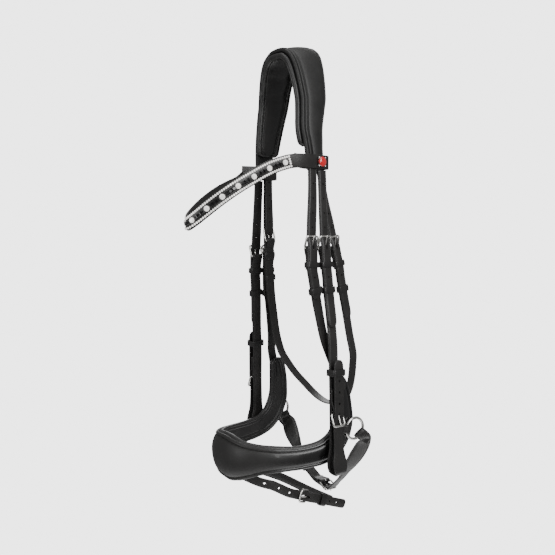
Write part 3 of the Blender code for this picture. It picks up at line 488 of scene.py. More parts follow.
def arch_line(out, end):
    """The arch over the poll, lifted by out, between the two ends at the same height."""
    half = [Vector((x, 0, z)) for x, z in ARCH if z >= end]
    whole = half + [Vector((-p.x, 0, p.z)) for p in reversed(half)]
    middle = len(half)
    line = smooth(whole[:middle], 3) + smooth(whole[middle:], 3)
    lifted = []
    for point, tangent in zip(line, tangents(line)):
        normal = Vector((-tangent.z, 0, tangent.x))
        lifted.append(point + normal * out)
    return lifted


# Each route is a list of (y, z) down the side of the head.
# The cheek billets start below the browband's loops, where they bend as they flare
BILLET_TOP = {
    ("near", "noseband"): -128.0, ("near", "cheek"): -136.0, ("near", "throat"): -128.0,
    ("far", "noseband"): -128.0, ("far", "cheek"): -142.0, ("far", "throat"): -128.0,
}
ROUTES = {
    ("near", "noseband"): [(-16.5, -128), (-18, -170), (-21, -205), (-22.5, -235), (-22.5, -262),
                           (-18, -290), (-12.5, -318), (-6, -345), (2, -368), (9, -386)],
    ("far", "noseband"): [(7, -128), (9, -170), (11, -205), (13, -240), (14, -275), (17, -305),
                          (21, -335), (25, -360), (28.5, -386)],
    ("near", "cheek"): [(-0.5, -128), (-1, -170), (-1, -205), (-1, -235), (0, -262), (1.5, -290),
                        (1.2, -320), (0, -350), (-1.5, -380), (-4.5, -430), (-6.5, -480)],
    ("far", "cheek"): [(-8, -128), (-8, -170), (-8, -205), (-8, -240), (-6, -275), (-1, -310), (3.5, -345),
                       (6, -375), (8, -400), (10, -430), (13.5, -480)],
    ("near", "throat"): [(1.5, -128), (6.5, -170), (14, -205), (20, -235), (25.5, -262), (31, -290),
                         (37, -318), (42, -345)],
    ("far", "throat"): [(3, -128), (3, -170), (3.5, -205), (5, -240), (8.5, -275), (12.5, -305),
                        (17.5, -330), (20.5, -345)],
}
WIDTHS = {"noseband": STRAP_WIDTH, "cheek": STRAP_WIDTH, "throat": THROAT_WIDTH}
BILLET_LENGTH = {"noseband": 62.0, "cheek": 98.0, "throat": 90.0}
# How far each strap lies out of its side's plane, against the height
NOSEBAND_OUT = [(-128, 1.8), (-170, 1), (-235, 0), (-350, 0), (-384, 3.4), (-600, 3.4)]
STRAP_OUT = {
    ("near", "noseband"): NOSEBAND_OUT,
    ("far", "noseband"): NOSEBAND_OUT,
    ("near", "cheek"): [
        (-128, 1.8), (-170, 1.5), (-235, 1.5), (-300, 2), (-340, 8.8), (-375, 10), (-600, 10.5),
    ],
    ("far", "cheek"): [(-128, 1.8), (-170, 1.5), (-235, 1.5), (-285, 2), (-325, 7.5), (-345, 9), (-600, 10)],
    ("near", "throat"): [(-128, -5), (-170, -3), (-235, -1), (-300, -2), (-600, -3)],
    ("far", "throat"): [(-128, -5.6), (-143, -5.8), (-170, -9), (-200, -12), (-600, -12)],
}


def route_point(side, kind, y, z, lift=0.0):
    return on_side(side, y, z, between(STRAP_OUT[side, kind], z) + lift)


def route_line(side, kind, top, bottom, lift=0.0):
    """The smooth line of one strap between two heights."""
    line = smooth([route_point(side, kind, y, z, lift) for y, z in ROUTES[side, kind]], 4)
    inside = [p for p in line if bottom < p.z < top]
    return [line_at(line, top), *inside, line_at(line, bottom)]


def line_at(line, height):
    """The point of a falling line at a height."""
    for a, b in zip(line, line[1:]):
        if a.z >= height >= b.z:
            return a.lerp(b, (a.z - height) / (a.z - b.z))
    return line[0].copy() if height > line[0].z else line[-1].copy()


def upper_buckle_frame(side, kind):
    """Frame of an upper buckle: its far bar points up, and the strap below hangs on its bar."""
    line = route_line(side, kind, -130, -330)
    bar = line_at(line, UPPER_BAR[side, kind])
    above = line_at(line, UPPER_BAR[side, kind] + 16)
    below = line_at(line, UPPER_BAR[side, kind] - 16)
    frame = Frame(bar, above - below, outward(side))
    frame.origin = frame.at(0, -FOLD_RADIUS)
    return frame


def frames_along(line, out, distances):
    """A Frame on a line at each distance from its first point."""
    found = []
    for wanted in distances:
        left = wanted
        for a, b in zip(line, line[1:]):
            step = (b - a).length
            if left <= step:
                found.append(Frame(a.lerp(b, left / step), b - a, out))
                break
            left -= step
    return found


def keeper_frame(side, kind, z):
    line = route_line(side, kind, z + 8, z - 8)
    middle = line_at(line, z)
    return Frame(middle, line[0] - line[-1], outward(side))


def upper_fold(side, kind):
    """The fold round an upper bar, and the straight stretch below it that the sewn keeper needs."""
    frame = upper_buckle_frame(side, kind)
    return chape_fold(frame, ply_end=-26) + [frame.at(-9, FOLD_RADIUS), frame.at(-27, FOLD_RADIUS)]


def hanging_line(side, kind, bottom):
    """The strap's line from below its upper fold down to a height."""
    return route_line(side, kind, UPPER_BAR[side, kind] - BELOW_FOLD, bottom)


BIT_TIP_OVER = WIRE_RADIUS + 0.25 + 2 * TONGUE_RADIUS + GAP + CHAPE_LEATHER / 2
LOOP_HALF = 6.0


def bit_buckle_frame(side):
    """Frame of a bit buckle: its far bar points down, and its chape is sewn on the cheekpiece."""
    line = route_line(side, "cheek", -380, -460)
    bar = line_at(line, BIT_BAR[side])
    frame = Frame(bar, line_at(line, BIT_BAR[side] - 14) - line_at(line, BIT_BAR[side] + 14), outward(side))
    frame.origin = frame.at(0, BIT_TIP_OVER)
    return frame


FOLD_STATIONS = 11


def cross_outs(line, start=None, end=None):
    """Out vectors for a line whose edges run along Y, and along the bar where a fold begins or ends it."""
    across = [Vector((0, 1, 0))] * len(line)
    if start:
        across[:FOLD_STATIONS] = [along_y(start.across)] * FOLD_STATIONS
    if end:
        across[-FOLD_STATIONS:] = [along_y(end.across)] * FOLD_STATIONS
    return [tangent.cross(edge).normalized() for tangent, edge in zip(tangents(line), across)]


def along_y(vector):
    return vector if vector.y > 0 else -vector


# Plan and height of the noseband's middle line, from the front round to the near side and up to the hanger:
# (x, y, z, height of the band)
NOSE_ROUTE = [
    (0, -103.4, -496, 55), (18, -102, -496, 53), (36, -93.5, -494.5, 44), (52, -75.5, -492.5, 34),
    (63, -52.5, -492.5, 29), (70.5, -26, -492, 27), (75.5, -1.5, -488.5, 28), (78.5, 18, -476, 28),
    (79, 27.5, -455, 27), (77.5, 28, -434, 25), (75.5, 26, -413, 22), (73.5, 21.5, -396, 18),
]
# The noseband hangs turned a little, with its near side forward
NOSE_YAW = 7.0


def yawed(point):
    return Matrix.Rotation(math.radians(-NOSE_YAW), 3, "Z") @ Vector(point)


def nose_line():
    """The whole noseband from the far hanger to the near one, as (points, heights)."""
    near = [Vector((*row[:3],)) for row in NOSE_ROUTE]
    far = [Vector((-p.x, p.y, p.z)) for p in reversed(near[1:])]
    heights = [row[3] for row in reversed(NOSE_ROUTE[1:])] + [row[3] for row in NOSE_ROUTE]
    points = [yawed(p) for p in smooth(far + near, 3)]
    wide = [v.x for v in smooth([Vector((h, 0, 0)) for h in heights], 3)]
    return points, wide


def nose_outs(points):
    """Out of the face all along the noseband: level, and square to the line in plan."""
    outs = []
    for point, tangent in zip(points, tangents(points)):
        flat = Vector((tangent.y, -tangent.x, 0))
        side = yawed((math.copysign(1, point.x), 0, 0))
        share = min(max((point.y + 10) / 25, 0), 1)
        flat = flat.normalized() if flat.length > 0.05 else side
        outs.append((flat * (1 - share) + side * share).normalized())
    return outs


def ring_centre(side):
    x, y = RING_PLACE
    return yawed((SIDES[side] * (x + NOSE_LEATHER + RING_WIRE + 2.4), y, RING_HEIGHT[side]))


def ring_frame(side):
    """At the ring's middle; its first axis points from the tab to the ring's middle."""
    return Frame(ring_centre(side), yawed((0, 1, -0.15)), yawed(outward(side)))

# ---------------------------------------------------------------- browband

# (x, y, z) along the middle of the band, from the near loop round the forehead to the far loop
BROW_ROUTE = [
    (61.4, -24, -126), (60.5, -36, -126.5), (56.5, -51, -128), (51, -76, -136.5), (45, -101, -150),
    (37.5, -121, -163), (27, -139, -178), (16, -151, -191), (4, -158, -201), (-6, -156.5, -203),
    (-17, -146.5, -196), (-27, -126, -182.5), (-34, -106, -171), (-40, -87, -161.5), (-45, -69, -154),
    (-50.5, -50, -147), (-58, -36, -139.5), (-63.5, -20, -133.5), (-65.1, -8, -132),
]
BROW_LOOP_Z = {"near": -126.0, "far": -132.0}
# Outer ply, back edge and inner ply of each end loop: (distance out of the straps' plane, y)
BROW_LOOP = {
    "near": [(5.4, 7), (3.2, 10.4), (-2, 11.6), (-7.2, 10.4), (-8.8, 7), (-8.8, -14), (-8, -24),
             (-1.8, -36), (0.6, -44)],
    "far": [(8.6, 13), (6.4, 16.9), (0.5, 18.2), (-6.6, 16.9), (-8.6, 12), (-8.6, -8), (-8, -17),
            (-2, -30), (0.2, -38)],
}
CRYSTAL_HEIGHT = 14.5


def brow_line():
    return smooth([Vector(p) for p in BROW_ROUTE], 2)


def level_outs(line):
    """Out of a band that runs round the front of the head: level, away from the middle of the head."""
    outs = []
    for point, tangent in zip(line, tangents(line)):
        out = Vector((tangent.y, -tangent.x, 0)).normalized()
        away = point + Vector((0, 60, 0))
        outs.append(out if out.dot(Vector((away.x, away.y, 0))) > 0 else -out)
    return outs


def loop_end(side):
    """The band's end turned back round the headpiece: outer ply, back edge, inner ply."""
    z = BROW_LOOP_Z[side]
    return [on_side(side, y, z, out) for out, y in BROW_LOOP[side]]


THROAT_ROUTE = [
    (72, 44.5, -372), (71, 44, -394), (69.5, 41, -414), (64, 39, -428), (52, 38, -437), (36, 40, -441.5),
    (18, 41, -440.5), (0, 41.5, -434), (-15, 38.5, -423), (-30, 34, -410), (-42, 31, -397),
    (-51, 27, -383), (-56, 23.5, -364),
]

CHIN_ROUTE = [
    (-76, 63, -498), (-68, 60.5, -508.5), (-58, 58.5, -520.5), (-45, 56, -532.5), (-30, 54, -544),
    (-12, 52.5, -553.5), (6, 50.5, -558.5), (21, 48, -560), (34, 46, -556.5), (46, 45.5, -547.5),
    (56, 46, -535.5), (66, 47, -520.5), (75, 48.5, -506), (82, 50, -494), (87.5, 50, -484),
]
CHIN_BAR_X = 14.0
CHIN_RUNNER_X = -24.0
CHIN_TIP_X = -48.0
CHIN_AT_RING = 11.0
# How far below level the chin strap pulls on each ring, in degrees
CHIN_PULL = {"near": 42.0, "far": 62.0}


def chin_line():
    return smooth([Vector(p) for p in CHIN_ROUTE], 3)


def below(tangent):
    """The lower side of a strap that runs across under the chin."""
    out = tangent.cross(Vector((0, 1, 0))).normalized()
    return out if out.z < 0 else -out


def chin_buckle_frame():
    line = chin_line()
    bar = min(range(len(line)), key=lambda i: abs(line[i].x - CHIN_BAR_X))
    tangent = (line[bar + 1] - line[bar - 1]).normalized()
    frame = Frame(line[bar], tangent, below(tangent))
    frame.origin = frame.at(0, -FOLD_RADIUS)
    return frame


def ring_hang(side):
    """Frame on the ring where the chin strap pulls, whose first axis points to the ring's middle."""
    pull = math.radians(CHIN_PULL[side])
    towards = yawed((0, -math.cos(pull), math.sin(pull)))
    return Frame(ring_centre(side) - towards * RING_RADIUS, towards, yawed(outward(side)))


def chin_width(share):
    return CHIN_AT_RING + (CHIN_WIDTH - CHIN_AT_RING) * min(max((share - 0.15) * 6, 0), 1)


FLASH_FRONT = (-12.6, -92.6, -514)
FLASH_NEAR = [(5, -93, -514.5), (20, -89, -517), (33, -80, -521.5), (42.5, -67.5, -526)]
FLASH_FAR = [(53.5, 21, -565.5), (50, 29, -569), (41, 33, -571), (26, 29, -569), (6, 19, -563),
             (-20, 2, -552), (-42, -22, -541), (-53, -45, -531), (-51, -64, -523), (-42, -78.5, -518),
             (-28, -89, -514.5)]
FLASH_BAR = (55, -19, -549.5)
FLASH_ALONG = (-0.06, -0.93, 0.37)
# Along the flash buckle's frame: the end of the folded ply, the runner, and the end of the straight stretch
FLASH_PLY_END, FLASH_RUNNER, FLASH_STRAIGHT = -14.0, -24.5, -34.0


def flash_buckle_frame():
    frame = Frame(Vector(FLASH_BAR), Vector(FLASH_ALONG), Vector((1, 0, 0)))
    frame.origin = frame.at(0, -FOLD_RADIUS)
    return frame


def billet_line(side, kind):
    """Line of a punched strap from the headpiece, down through its buckle and over the strap below."""
    frame = upper_buckle_frame(side, kind)
    bar = UPPER_BAR[side, kind]
    line = route_line(side, kind, BILLET_TOP[side, kind], bar + FRAME_LENGTH + 5)
    line += [
        frame.at(FRAME_LENGTH, BILLET_AT_FAR_BAR),
        frame.at(FRAME_LENGTH / 2, (BILLET_AT_FAR_BAR + BILLET_OVER_BAR) / 2 + 0.3),
        frame.at(1, BILLET_OVER_BAR),
        frame.at(-9, BILLET_OVER_BAR),
        frame.at(-27, BILLET_OVER_BAR),
    ]
    lift = BILLET_OVER_BAR - FOLD_RADIUS
    return line + route_line(side, kind, bar - BELOW_FOLD, bar - BILLET_LENGTH[kind], lift)


def cheek_line(side):
    """From the upper buckle down to the bit loop, and back up outside through the bit buckle."""
    frame = bit_buckle_frame(side)
    line = upper_fold(side, "cheek") + hanging_line(side, "cheek", LOOP_BOTTOM[side] + 40)
    drop = line_at(line, LOOP_BOTTOM[side] + 40)
    low = drop.z - LOOP_BOTTOM[side] - LOOP_HALF - CHAPE_LEATHER / 2
    down = Frame(drop, Vector((0, 0, -1)), outward(side))
    line += down.arc((-80, -40, 0, 40, 80), LOOP_HALF, LOOP_HALF, low, LOOP_HALF)
    over = BIT_TIP_OVER
    under = FRAME_RISE - WIRE_RADIUS - GAP - CHAPE_LEATHER / 2
    line += [down.at(low - 16, 9.5), frame.at(FRAME_LENGTH + 3, under - 0.2), frame.at(FRAME_LENGTH, under)]
    line += [frame.at(FRAME_LENGTH / 2, (under + over) / 2), frame.at(0, over), frame.at(-12, over)]
    return line + [frame.at(-30, over), frame.at(-50, over), frame.at(-66, over)]


def bit_chape_line(frame):
    radius = WIRE_RADIUS + GAP + THIN_LEATHER / 2
    line = [frame.at(-30, -radius), frame.at(-6, -radius)]
    line += frame.arc((-90, -45, 0, 45, 90), radius + 0.4, radius)
    line += [frame.at(-6, radius), frame.at(-10, radius - 1.2), frame.at(-15, -radius + THIN_LEATHER + GAP)]
    return line + [frame.at(-29, -radius + THIN_LEATHER + GAP)]


def hanger_line(side):
    """From the noseband's upper buckle down to the top of the padded arm."""
    line = upper_fold(side, "noseband") + hanging_line(side, "noseband", -382)
    x, y, z, _ = NOSE_ROUTE[-1]
    over = NOSE_LEATHER + GAP + CHAPE_LEATHER / 2 + 1.1
    for drop in (1, 8, 15):
        lap = Vector((SIDES[side] * (x + over + drop * 0.12), y + drop * 0.25, z - drop))
        line.append(yawed(lap))
    return line


def ring_tab_line(frame):
    fold = RING_WIRE + 0.8 + THIN_LEATHER / 2
    centre = -RING_RADIUS
    line = [frame.at(centre - 10, -fold + 0.6), frame.at(centre - 6, -fold + 0.6), frame.at(centre, -fold)]
    line += frame.arc((-60, -20, 20, 60), fold + 2.6, fold, centre)
    line += [frame.at(centre, fold), frame.at(centre - 4, fold - 2), frame.at(centre - 7, -0.8)]
    return line + [frame.at(centre - 10, -fold + 0.6 + THIN_LEATHER + GAP)]


def throat_line():
    """One strap from the near throat buckle, under the jaw and up to the far one."""
    line = upper_fold("near", "throat") + hanging_line("near", "throat", -345)
    line += smooth([Vector(p) for p in THROAT_ROUTE], 2)
    up = upper_fold("far", "throat") + hanging_line("far", "throat", -345)
    return line + list(reversed(up))


def chin_lines():
    """The chin strap's two halves, as (line, outs)."""
    frame, line = chin_buckle_frame(), chin_line()
    before = [p for p in line if (p - frame.origin).dot(frame.along) < -24]
    after = [p for p in line if (p - frame.origin).dot(frame.along) > FRAME_LENGTH + 8]
    at_ring = {}
    for side in SIDES:
        hang = ring_hang(side)
        at_ring[side] = chape_fold(hang, ply_end=-16, bar=RING_WIRE + 0.4, room=2.6)
        at_ring[side].append(hang.at(-6, RING_WIRE + 0.4 + GAP + CHAPE_LEATHER / 2))
    fold = [frame.at(-18, FOLD_RADIUS), frame.at(-8, FOLD_RADIUS), *reversed(chape_fold(frame, ply_end=-17))]
    far = at_ring["far"] + before + fold
    near = at_ring["near"] + list(reversed(after))
    near += [frame.at(FRAME_LENGTH + 4, 0.8), frame.at(FRAME_LENGTH, BILLET_AT_FAR_BAR)]
    near += [frame.at(FRAME_LENGTH / 2, (BILLET_AT_FAR_BAR + BILLET_OVER_BAR) / 2)]
    near += [frame.at(along, BILLET_OVER_BAR) for along in (1, -8, -18)]
    lift = BILLET_OVER_BAR - FOLD_RADIUS
    ways = tangents(line)
    tip = [p + below(way) * lift for p, way in zip(line, ways) if p in before and p.x > CHIN_TIP_X]
    near += list(reversed(tip))
    return {
        "far": (far, cross_outs(far, start=ring_hang("far"), end=frame)),
        "near": (near, cross_outs(near, start=ring_hang("near"))),
    }


def flash_line(frame):
    line = chape_fold(frame, ply_end=FLASH_PLY_END)
    line += [frame.at(-8, FOLD_RADIUS), frame.at(FLASH_STRAIGHT, FOLD_RADIUS)]
    line += smooth([Vector(p) for p in [*FLASH_FAR, FLASH_FRONT, *FLASH_NEAR]], 2)
    line += [frame.at(FRAME_LENGTH + 14, -0.8), frame.at(FRAME_LENGTH + 6, 0.8)]
    line += [frame.at(FRAME_LENGTH, BILLET_AT_FAR_BAR - 0.4)]
    line += [frame.at(FRAME_LENGTH / 2, (BILLET_AT_FAR_BAR + BILLET_OVER_BAR) / 2)]
    return line + [frame.at(s, BILLET_OVER_BAR) for s in (1, -15, -30, -45, -66)]


# ---------------------------------------------------------------- making meshes


def placed(point):
    """A point of the tables, in the frame's metres."""
    return Vector((point.x, point.y, point.z - SEAT_HEIGHT)) * MM


def make_piece(name, bm, finish, sharp_from=None):
    """An object from a mesh in the tables' millimetres."""
    for vert in bm.verts:
        vert.co = placed(vert.co)
    bmesh.ops.recalc_face_normals(bm, faces=bm.faces)
    mesh = bpy.data.meshes.new(name)
    bm.to_mesh(mesh)
    bm.free()
    mesh.shade_smooth()
    if sharp_from:
        mesh.set_sharp_from_angle(angle=math.radians(sharp_from))
    mesh.materials.append(finish)
    obj = bpy.data.objects.new(name, mesh)
    bpy.context.collection.objects.link(obj)
    return obj


def stands_for(obj, node):
    """obj takes the place of a node and moves with the node's body."""
    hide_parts(node)
    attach(obj, OWNER[node])


def refine(line, acrosses, step, closed=False):
    """The line with stations at most step apart, on a curve that rounds its corners, and their acrosses."""
    count = len(line)
    points, edges = [], []
    for i in range(count if closed else count - 1):
        p1, p2 = line[i], line[(i + 1) % count]
        p0 = line[i - 1] if closed or i else 2 * p1 - p2
        p3 = line[(i + 2) % count] if closed or i + 2 < count else 2 * p2 - p1
        t01, t12, t23 = (max((b - a).length, 1e-4) ** 0.5 for a, b in ((p0, p1), (p1, p2), (p2, p3)))
        m1 = p2 - p1 + t12 * ((p1 - p0) / t01 - (p2 - p0) / (t01 + t12))
        m2 = p2 - p1 + t12 * ((p3 - p2) / t23 - (p3 - p1) / (t12 + t23))
        steps = max(1, math.ceil((p2 - p1).length / step))
        for k in range(steps):
            t = k / steps
            points.append(
                (2 * t**3 - 3 * t**2 + 1) * p1 + (t**3 - 2 * t**2 + t) * m1
                + (3 * t**2 - 2 * t**3) * p2 + (t**3 - t**2) * m2
            )
            edges.append(acrosses[i].lerp(acrosses[(i + 1) % count], t).normalized())
    if not closed:
        points.append(line[-1].copy())
        edges.append(acrosses[-1].copy())
    return points, edges


def bridge(bm, rings, closed=False):
    """Faces between rings of vertices, and caps on an open row."""
    following = rings[1:] + rings[:1] if closed else rings[1:]
    for ring, after in zip(rings, following):
        for i in range(len(ring)):
            j = (i + 1) % len(ring)
            bm.faces.new((ring[i], ring[j], after[j], after[i]))
    if not closed:
        bm.faces.new(rings[0])
        bm.faces.new(rings[-1])


def skin(bm, line, acrosses, profiles, closed=False):
    """Faces over a row of outlines, each (across, out) from its station, and caps on an open row."""
    rings = []
    for point, tangent, across, profile in zip(line, tangents(line, closed), acrosses, profiles):
        out = across.cross(tangent).normalized()
        rings.append([bm.verts.new(point + across * a + out * o) for a, o in profile])
    bridge(bm, rings, closed)


def corner_arc(across, out, radius, start):
    """Four points of a quarter turn round a centre."""
    turns = (math.radians(start + step) for step in (0, 30, 60, 90))
    return [(across + radius * math.cos(t), out + radius * math.sin(t)) for t in turns]


def strip_profile(half, thick, share=1.0, dome=0.35, crease=0.22):
    """Outline of a strip of leather: round edges, a slightly domed face and a crease inside each edge.
    share narrows it."""
    r = 0.45 * thick
    top = thick / 2
    face = [(half - 1.45, top + 0.02), (half - 1.85, top - crease), (half - 2.3, top + 0.4 * dome)]
    face += [(half * 0.45, top + 0.85 * dome)]
    outline = corner_arc(half - r, top - r, r, 0) + face + [(0, top + dome)]
    outline += [(-a, o) for a, o in reversed(face)]
    outline += corner_arc(-half + r, top - r, r, 90) + corner_arc(-half + r, r - top, r, 180)
    outline += corner_arc(half - r, r - top, r, 270)
    thin = 0.6 + 0.4 * share
    return [(a * share, o * thin) for a, o in outline]


def edges_across(line, outs):
    outs = outs if isinstance(outs, list) else [outs] * len(line)
    return [tangent.cross(out).normalized() for tangent, out in zip(tangents(line), outs)]


def lengths_along(line):
    lengths = [0.0]
    for a, b in zip(line, line[1:]):
        lengths.append(lengths[-1] + (b - a).length)
    return lengths


TIP_LENGTH = 9.5
TIP_POWER = 0.72


def with_tip(line, acrosses, reach):
    """The stations closer together over the last reach, and each one's share of the full width."""
    lengths = lengths_along(line)
    total = lengths[-1]
    kept = [i for i, at in enumerate(lengths) if at < total - reach]
    points, edges, shares = [line[i] for i in kept], [acrosses[i] for i in kept], [1.0] * len(kept)
    for turn in (90, 72, 58, 46, 35, 25, 16, 9, 4, 1.5):
        back = reach * (1 - math.cos(math.radians(turn)))
        i = max(k for k, at in enumerate(lengths[:-1]) if at <= total - back + 1e-6)
        share = (total - back - lengths[i]) / max(lengths[i + 1] - lengths[i], 1e-6)
        points.append(line[i].lerp(line[i + 1], share))
        edges.append(acrosses[i].lerp(acrosses[i + 1], share).normalized())
        shares.append(math.sin(math.radians(turn)) ** TIP_POWER)
    return points, edges, shares


def relaxed(values, times, fixed=0):
    """Each value averaged with its neighbours, a number of times. The first few may stay as they are."""
    for _ in range(times):
        middle = [
            values[i] if i < fixed else (values[i - 1] + 2 * values[i] + values[i + 1]) / 4
            for i in range(1, len(values) - 1)
        ]
        values = [values[0], *middle, values[-1]]
    return values


def leather_strip(
    name, line, outs, width, thick, tip=0, finish=None, dome=0.35, step=2.2, ease=(0, 0, 0)
):
    """A strap with its look. Width may be a function of the share of the length. Returns the object, its
    stations and their acrosses."""
    line, acrosses = refine(line, edges_across(line, outs), step)
    line = relaxed(line, ease[0], ease[2])
    acrosses = [across.normalized() for across in relaxed(acrosses, ease[1], ease[2])]
    shares = [1.0] * len(line)
    if tip:
        line, acrosses, shares = with_tip(line, acrosses, tip)
    lengths = lengths_along(line)
    profiles = []
    for at, share in zip(lengths, shares):
        wide = width(at / lengths[-1]) if callable(width) else width
        profiles.append(strip_profile(wide / 2, thick, share, dome))
    bm = bmesh.new()
    skin(bm, line, acrosses, profiles)
    obj = make_piece(name, bm, finish or STRAP_LEATHER)
    return obj, line, acrosses


def cut(obj, cutter):
    """Cuts cutter's mesh from obj for good."""
    modifier = obj.modifiers.new("cut", "BOOLEAN")
    modifier.object = cutter
    modifier.solver = "EXACT"
    graph = bpy.context.evaluated_depsgraph_get()
    mesh = bpy.data.meshes.new_from_object(obj.evaluated_get(graph))
    obj.modifiers.clear()
    old = obj.data
    obj.data = mesh
    bpy.data.meshes.remove(old)
    bpy.data.objects.remove(cutter, do_unlink=True)
    mesh.shade_smooth()
    mesh.set_sharp_from_angle(angle=math.radians(42))


def punch(obj, frames, radius, stretch=1.0, depth=7.0):
    """Punches a hole at each frame, longer along the strap by stretch."""
    bm = bmesh.new()
    for frame in frames:
        turn = Matrix((frame.along, frame.across, frame.out)).transposed().to_4x4()
        place = Matrix.Translation(frame.origin) @ turn @ Matrix.Diagonal((stretch, 1, 1, 1))
        bmesh.ops.create_cone(
            bm, cap_ends=True, segments=20, radius1=radius, radius2=radius, depth=depth, matrix=place
        )
    cut(obj, make_piece("cutter", bm, STRAP_LEATHER))


def punch_slot(obj, frame):
    """Punches the slot for a buckle's tongue."""
    slot = Frame(frame.at(5.0, 4.0), frame.along, frame.out)
    punch(obj, [slot], SLOT_RADIUS, stretch=SLOT_STRETCH, depth=6.5)


def stitches(bm, line, acrosses, inset, lift, start=0.0, end=None, pitch=3.0, radius=0.26):
    """A row of stitches beside a line, between two distances along it, at inset across it and lift out of it.
    inset may be a function of the share of the length."""
    lengths = lengths_along(line)
    end = lengths[-1] if end is None else end
    ways = tangents(line)
    i, at = 0, start + pitch / 2
    while at < end:
        while i < len(line) - 2 and lengths[i + 1] < at:
            i += 1
        share = (at - lengths[i]) / max(lengths[i + 1] - lengths[i], 1e-6)
        across = acrosses[i]
        out = across.cross(ways[i]).normalized()
        side = inset(at / lengths[-1]) if callable(inset) else inset
        middle = line[i].lerp(line[i + 1], share) + across * side + out * lift
        turn = Matrix((ways[i], across, out)).transposed().to_4x4()
        shape = Matrix.Diagonal((pitch * 0.36, radius, radius, 1))
        bmesh.ops.create_icosphere(
            bm, subdivisions=1, radius=1, matrix=Matrix.Translation(middle) @ turn @ shape
        )
        at += pitch


def tube(name, points, radius, finish, closed=False, radii=None, resolution=5):
    """A round wire through the points."""
    data = bpy.data.curves.new(name, "CURVE")
    data.dimensions = "3D"
    data.bevel_depth = radius * MM
    data.bevel_resolution = resolution
    data.use_fill_caps = not closed
    spline = data.splines.new("POLY")
    spline.points.add(len(points) - 1)
    for i, (place, point) in enumerate(zip(spline.points, points)):
        place.co = (*placed(point), 1)
        place.radius = radii[i] if radii else 1.0
    spline.use_cyclic_u = closed
    curve = bpy.data.objects.new(name + "_line", data)
    bpy.context.collection.objects.link(curve)
    graph = bpy.context.evaluated_depsgraph_get()
    mesh = bpy.data.meshes.new_from_object(curve.evaluated_get(graph))
    bpy.data.objects.remove(curve, do_unlink=True)
    bm = bmesh.new()
    bm.from_mesh(mesh)
    bmesh.ops.remove_doubles(bm, verts=bm.verts, dist=1e-6)
    bmesh.ops.recalc_face_normals(bm, faces=bm.faces)
    bm.to_mesh(mesh)
    bm.free()
    mesh.shade_smooth()
    mesh.materials.clear()
    mesh.materials.append(finish)
    obj = bpy.data.objects.new(name, mesh)
    bpy.context.collection.objects.link(obj)
    return obj


def leather_loop(name, frame, across, out, height):
    """A closed leather loop: across and out are the inside's limits at the frame's origin."""
    r, thick = 1.5, LOOP_LEATHER
    low_a, high_a = across[0] - thick / 2, across[1] + thick / 2
    low_o, high_o = out[0] - thick / 2, out[1] + thick / 2
    outline = []
    for a, o, turn in (
        (high_a - r, high_o - r, 0), (low_a + r, high_o - r, 90),
        (low_a + r, low_o + r, 180), (high_a - r, low_o + r, 270),
    ):
        outline += corner_arc(a, o, r, turn)
    middle = (low_o + high_o) / 2
    line = [frame.at(0, o + 0.35 * (1 - (a / high_a) ** 2) * (1 if o > middle else 0), a) for a, o in outline]
    bulge = [frame.at(0, high_o + 0.45, high_a * share) for share in (0.5, 0, -0.5)]
    line[4:4] = bulge
    edges = [frame.along] * len(line)
    line, edges = refine(line, edges, 1.6, closed=True)
    centre = frame.at(0, middle)
    first_out = edges[0].cross(tangents(line, True)[0])
    turn = 1 if first_out.dot(line[0] - centre) > 0 else -1
    half = height / 2
    profile = corner_arc(half - 0.5, thick / 2 - 0.5, 0.5, 0)
    profile += [(half * 0.5, thick / 2 + 0.12), (0, thick / 2 + 0.18), (-half * 0.5, thick / 2 + 0.12)]
    profile += corner_arc(-half + 0.5, thick / 2 - 0.5, 0.5, 90)
    profile += corner_arc(-half + 0.4, 0.4 - thick / 2, 0.4, 180)
    profile += corner_arc(half - 0.4, 0.4 - thick / 2, 0.4, 270)
    bm = bmesh.new()
    skin(bm, line, edges, [[(a, o * turn) for a, o in profile]] * len(line), closed=True)
    return make_piece(name, bm, EDGE_LEATHER)


# ---------------------------------------------------------------- side straps


def broadening(width, start, end):
    """A width that is BROADER less on the start's side of the two shares than on the end's side."""
    return lambda share: width - BROADER * min(max((end - share) / (end - start), 0), 1)


# Height above the bar of the lowest of a billet's four open holes, and how far past it the last hole lies
HOLE_ABOVE_BAR, SPARE_HOLE = 26, 62
# Shares of a billet's and of a hanger's length between which its width changes
BILLET_SHARES, HANGER_SHARES = (0.15, 0.35), (0.6, 0.45)
# Distance of a runner below its buckle's bar, and of a bit runner above the bit buckle's
RUNNER_BELOW, BIT_RUNNER_ABOVE = 52, 50
# Open holes in the tip of a cheek strap and of the flash strap, along the frame of the buckle that holds it
BIT_HOLES, FLASH_TIP_HOLES = (-12, -26, -40), (-36, -50)


def make_billet(side, kind):
    """A punched strap, from its place under the headpiece to its tip below the buckle."""
    frame = upper_buckle_frame(side, kind)
    bar = UPPER_BAR[side, kind]
    line = billet_line(side, kind)
    reach = (line_at(line, bar + HOLE_ABOVE_BAR) - line[0]).length
    name = f"{kind}_billet_{side}"
    width = broadening(WIDTHS[kind], *BILLET_SHARES)
    obj, _, _ = leather_strip(name + "_strap", line, outward(side), width, LEATHER, tip=TIP_LENGTH, dome=0.6)
    spacing = [reach - HOLE_SPACING * i for i in range(4)] + [reach + SPARE_HOLE]
    punch(obj, frames_along(line, outward(side), spacing), BILLET_HOLE)
    punch_slot(obj, frame)
    stands_for(obj, name)


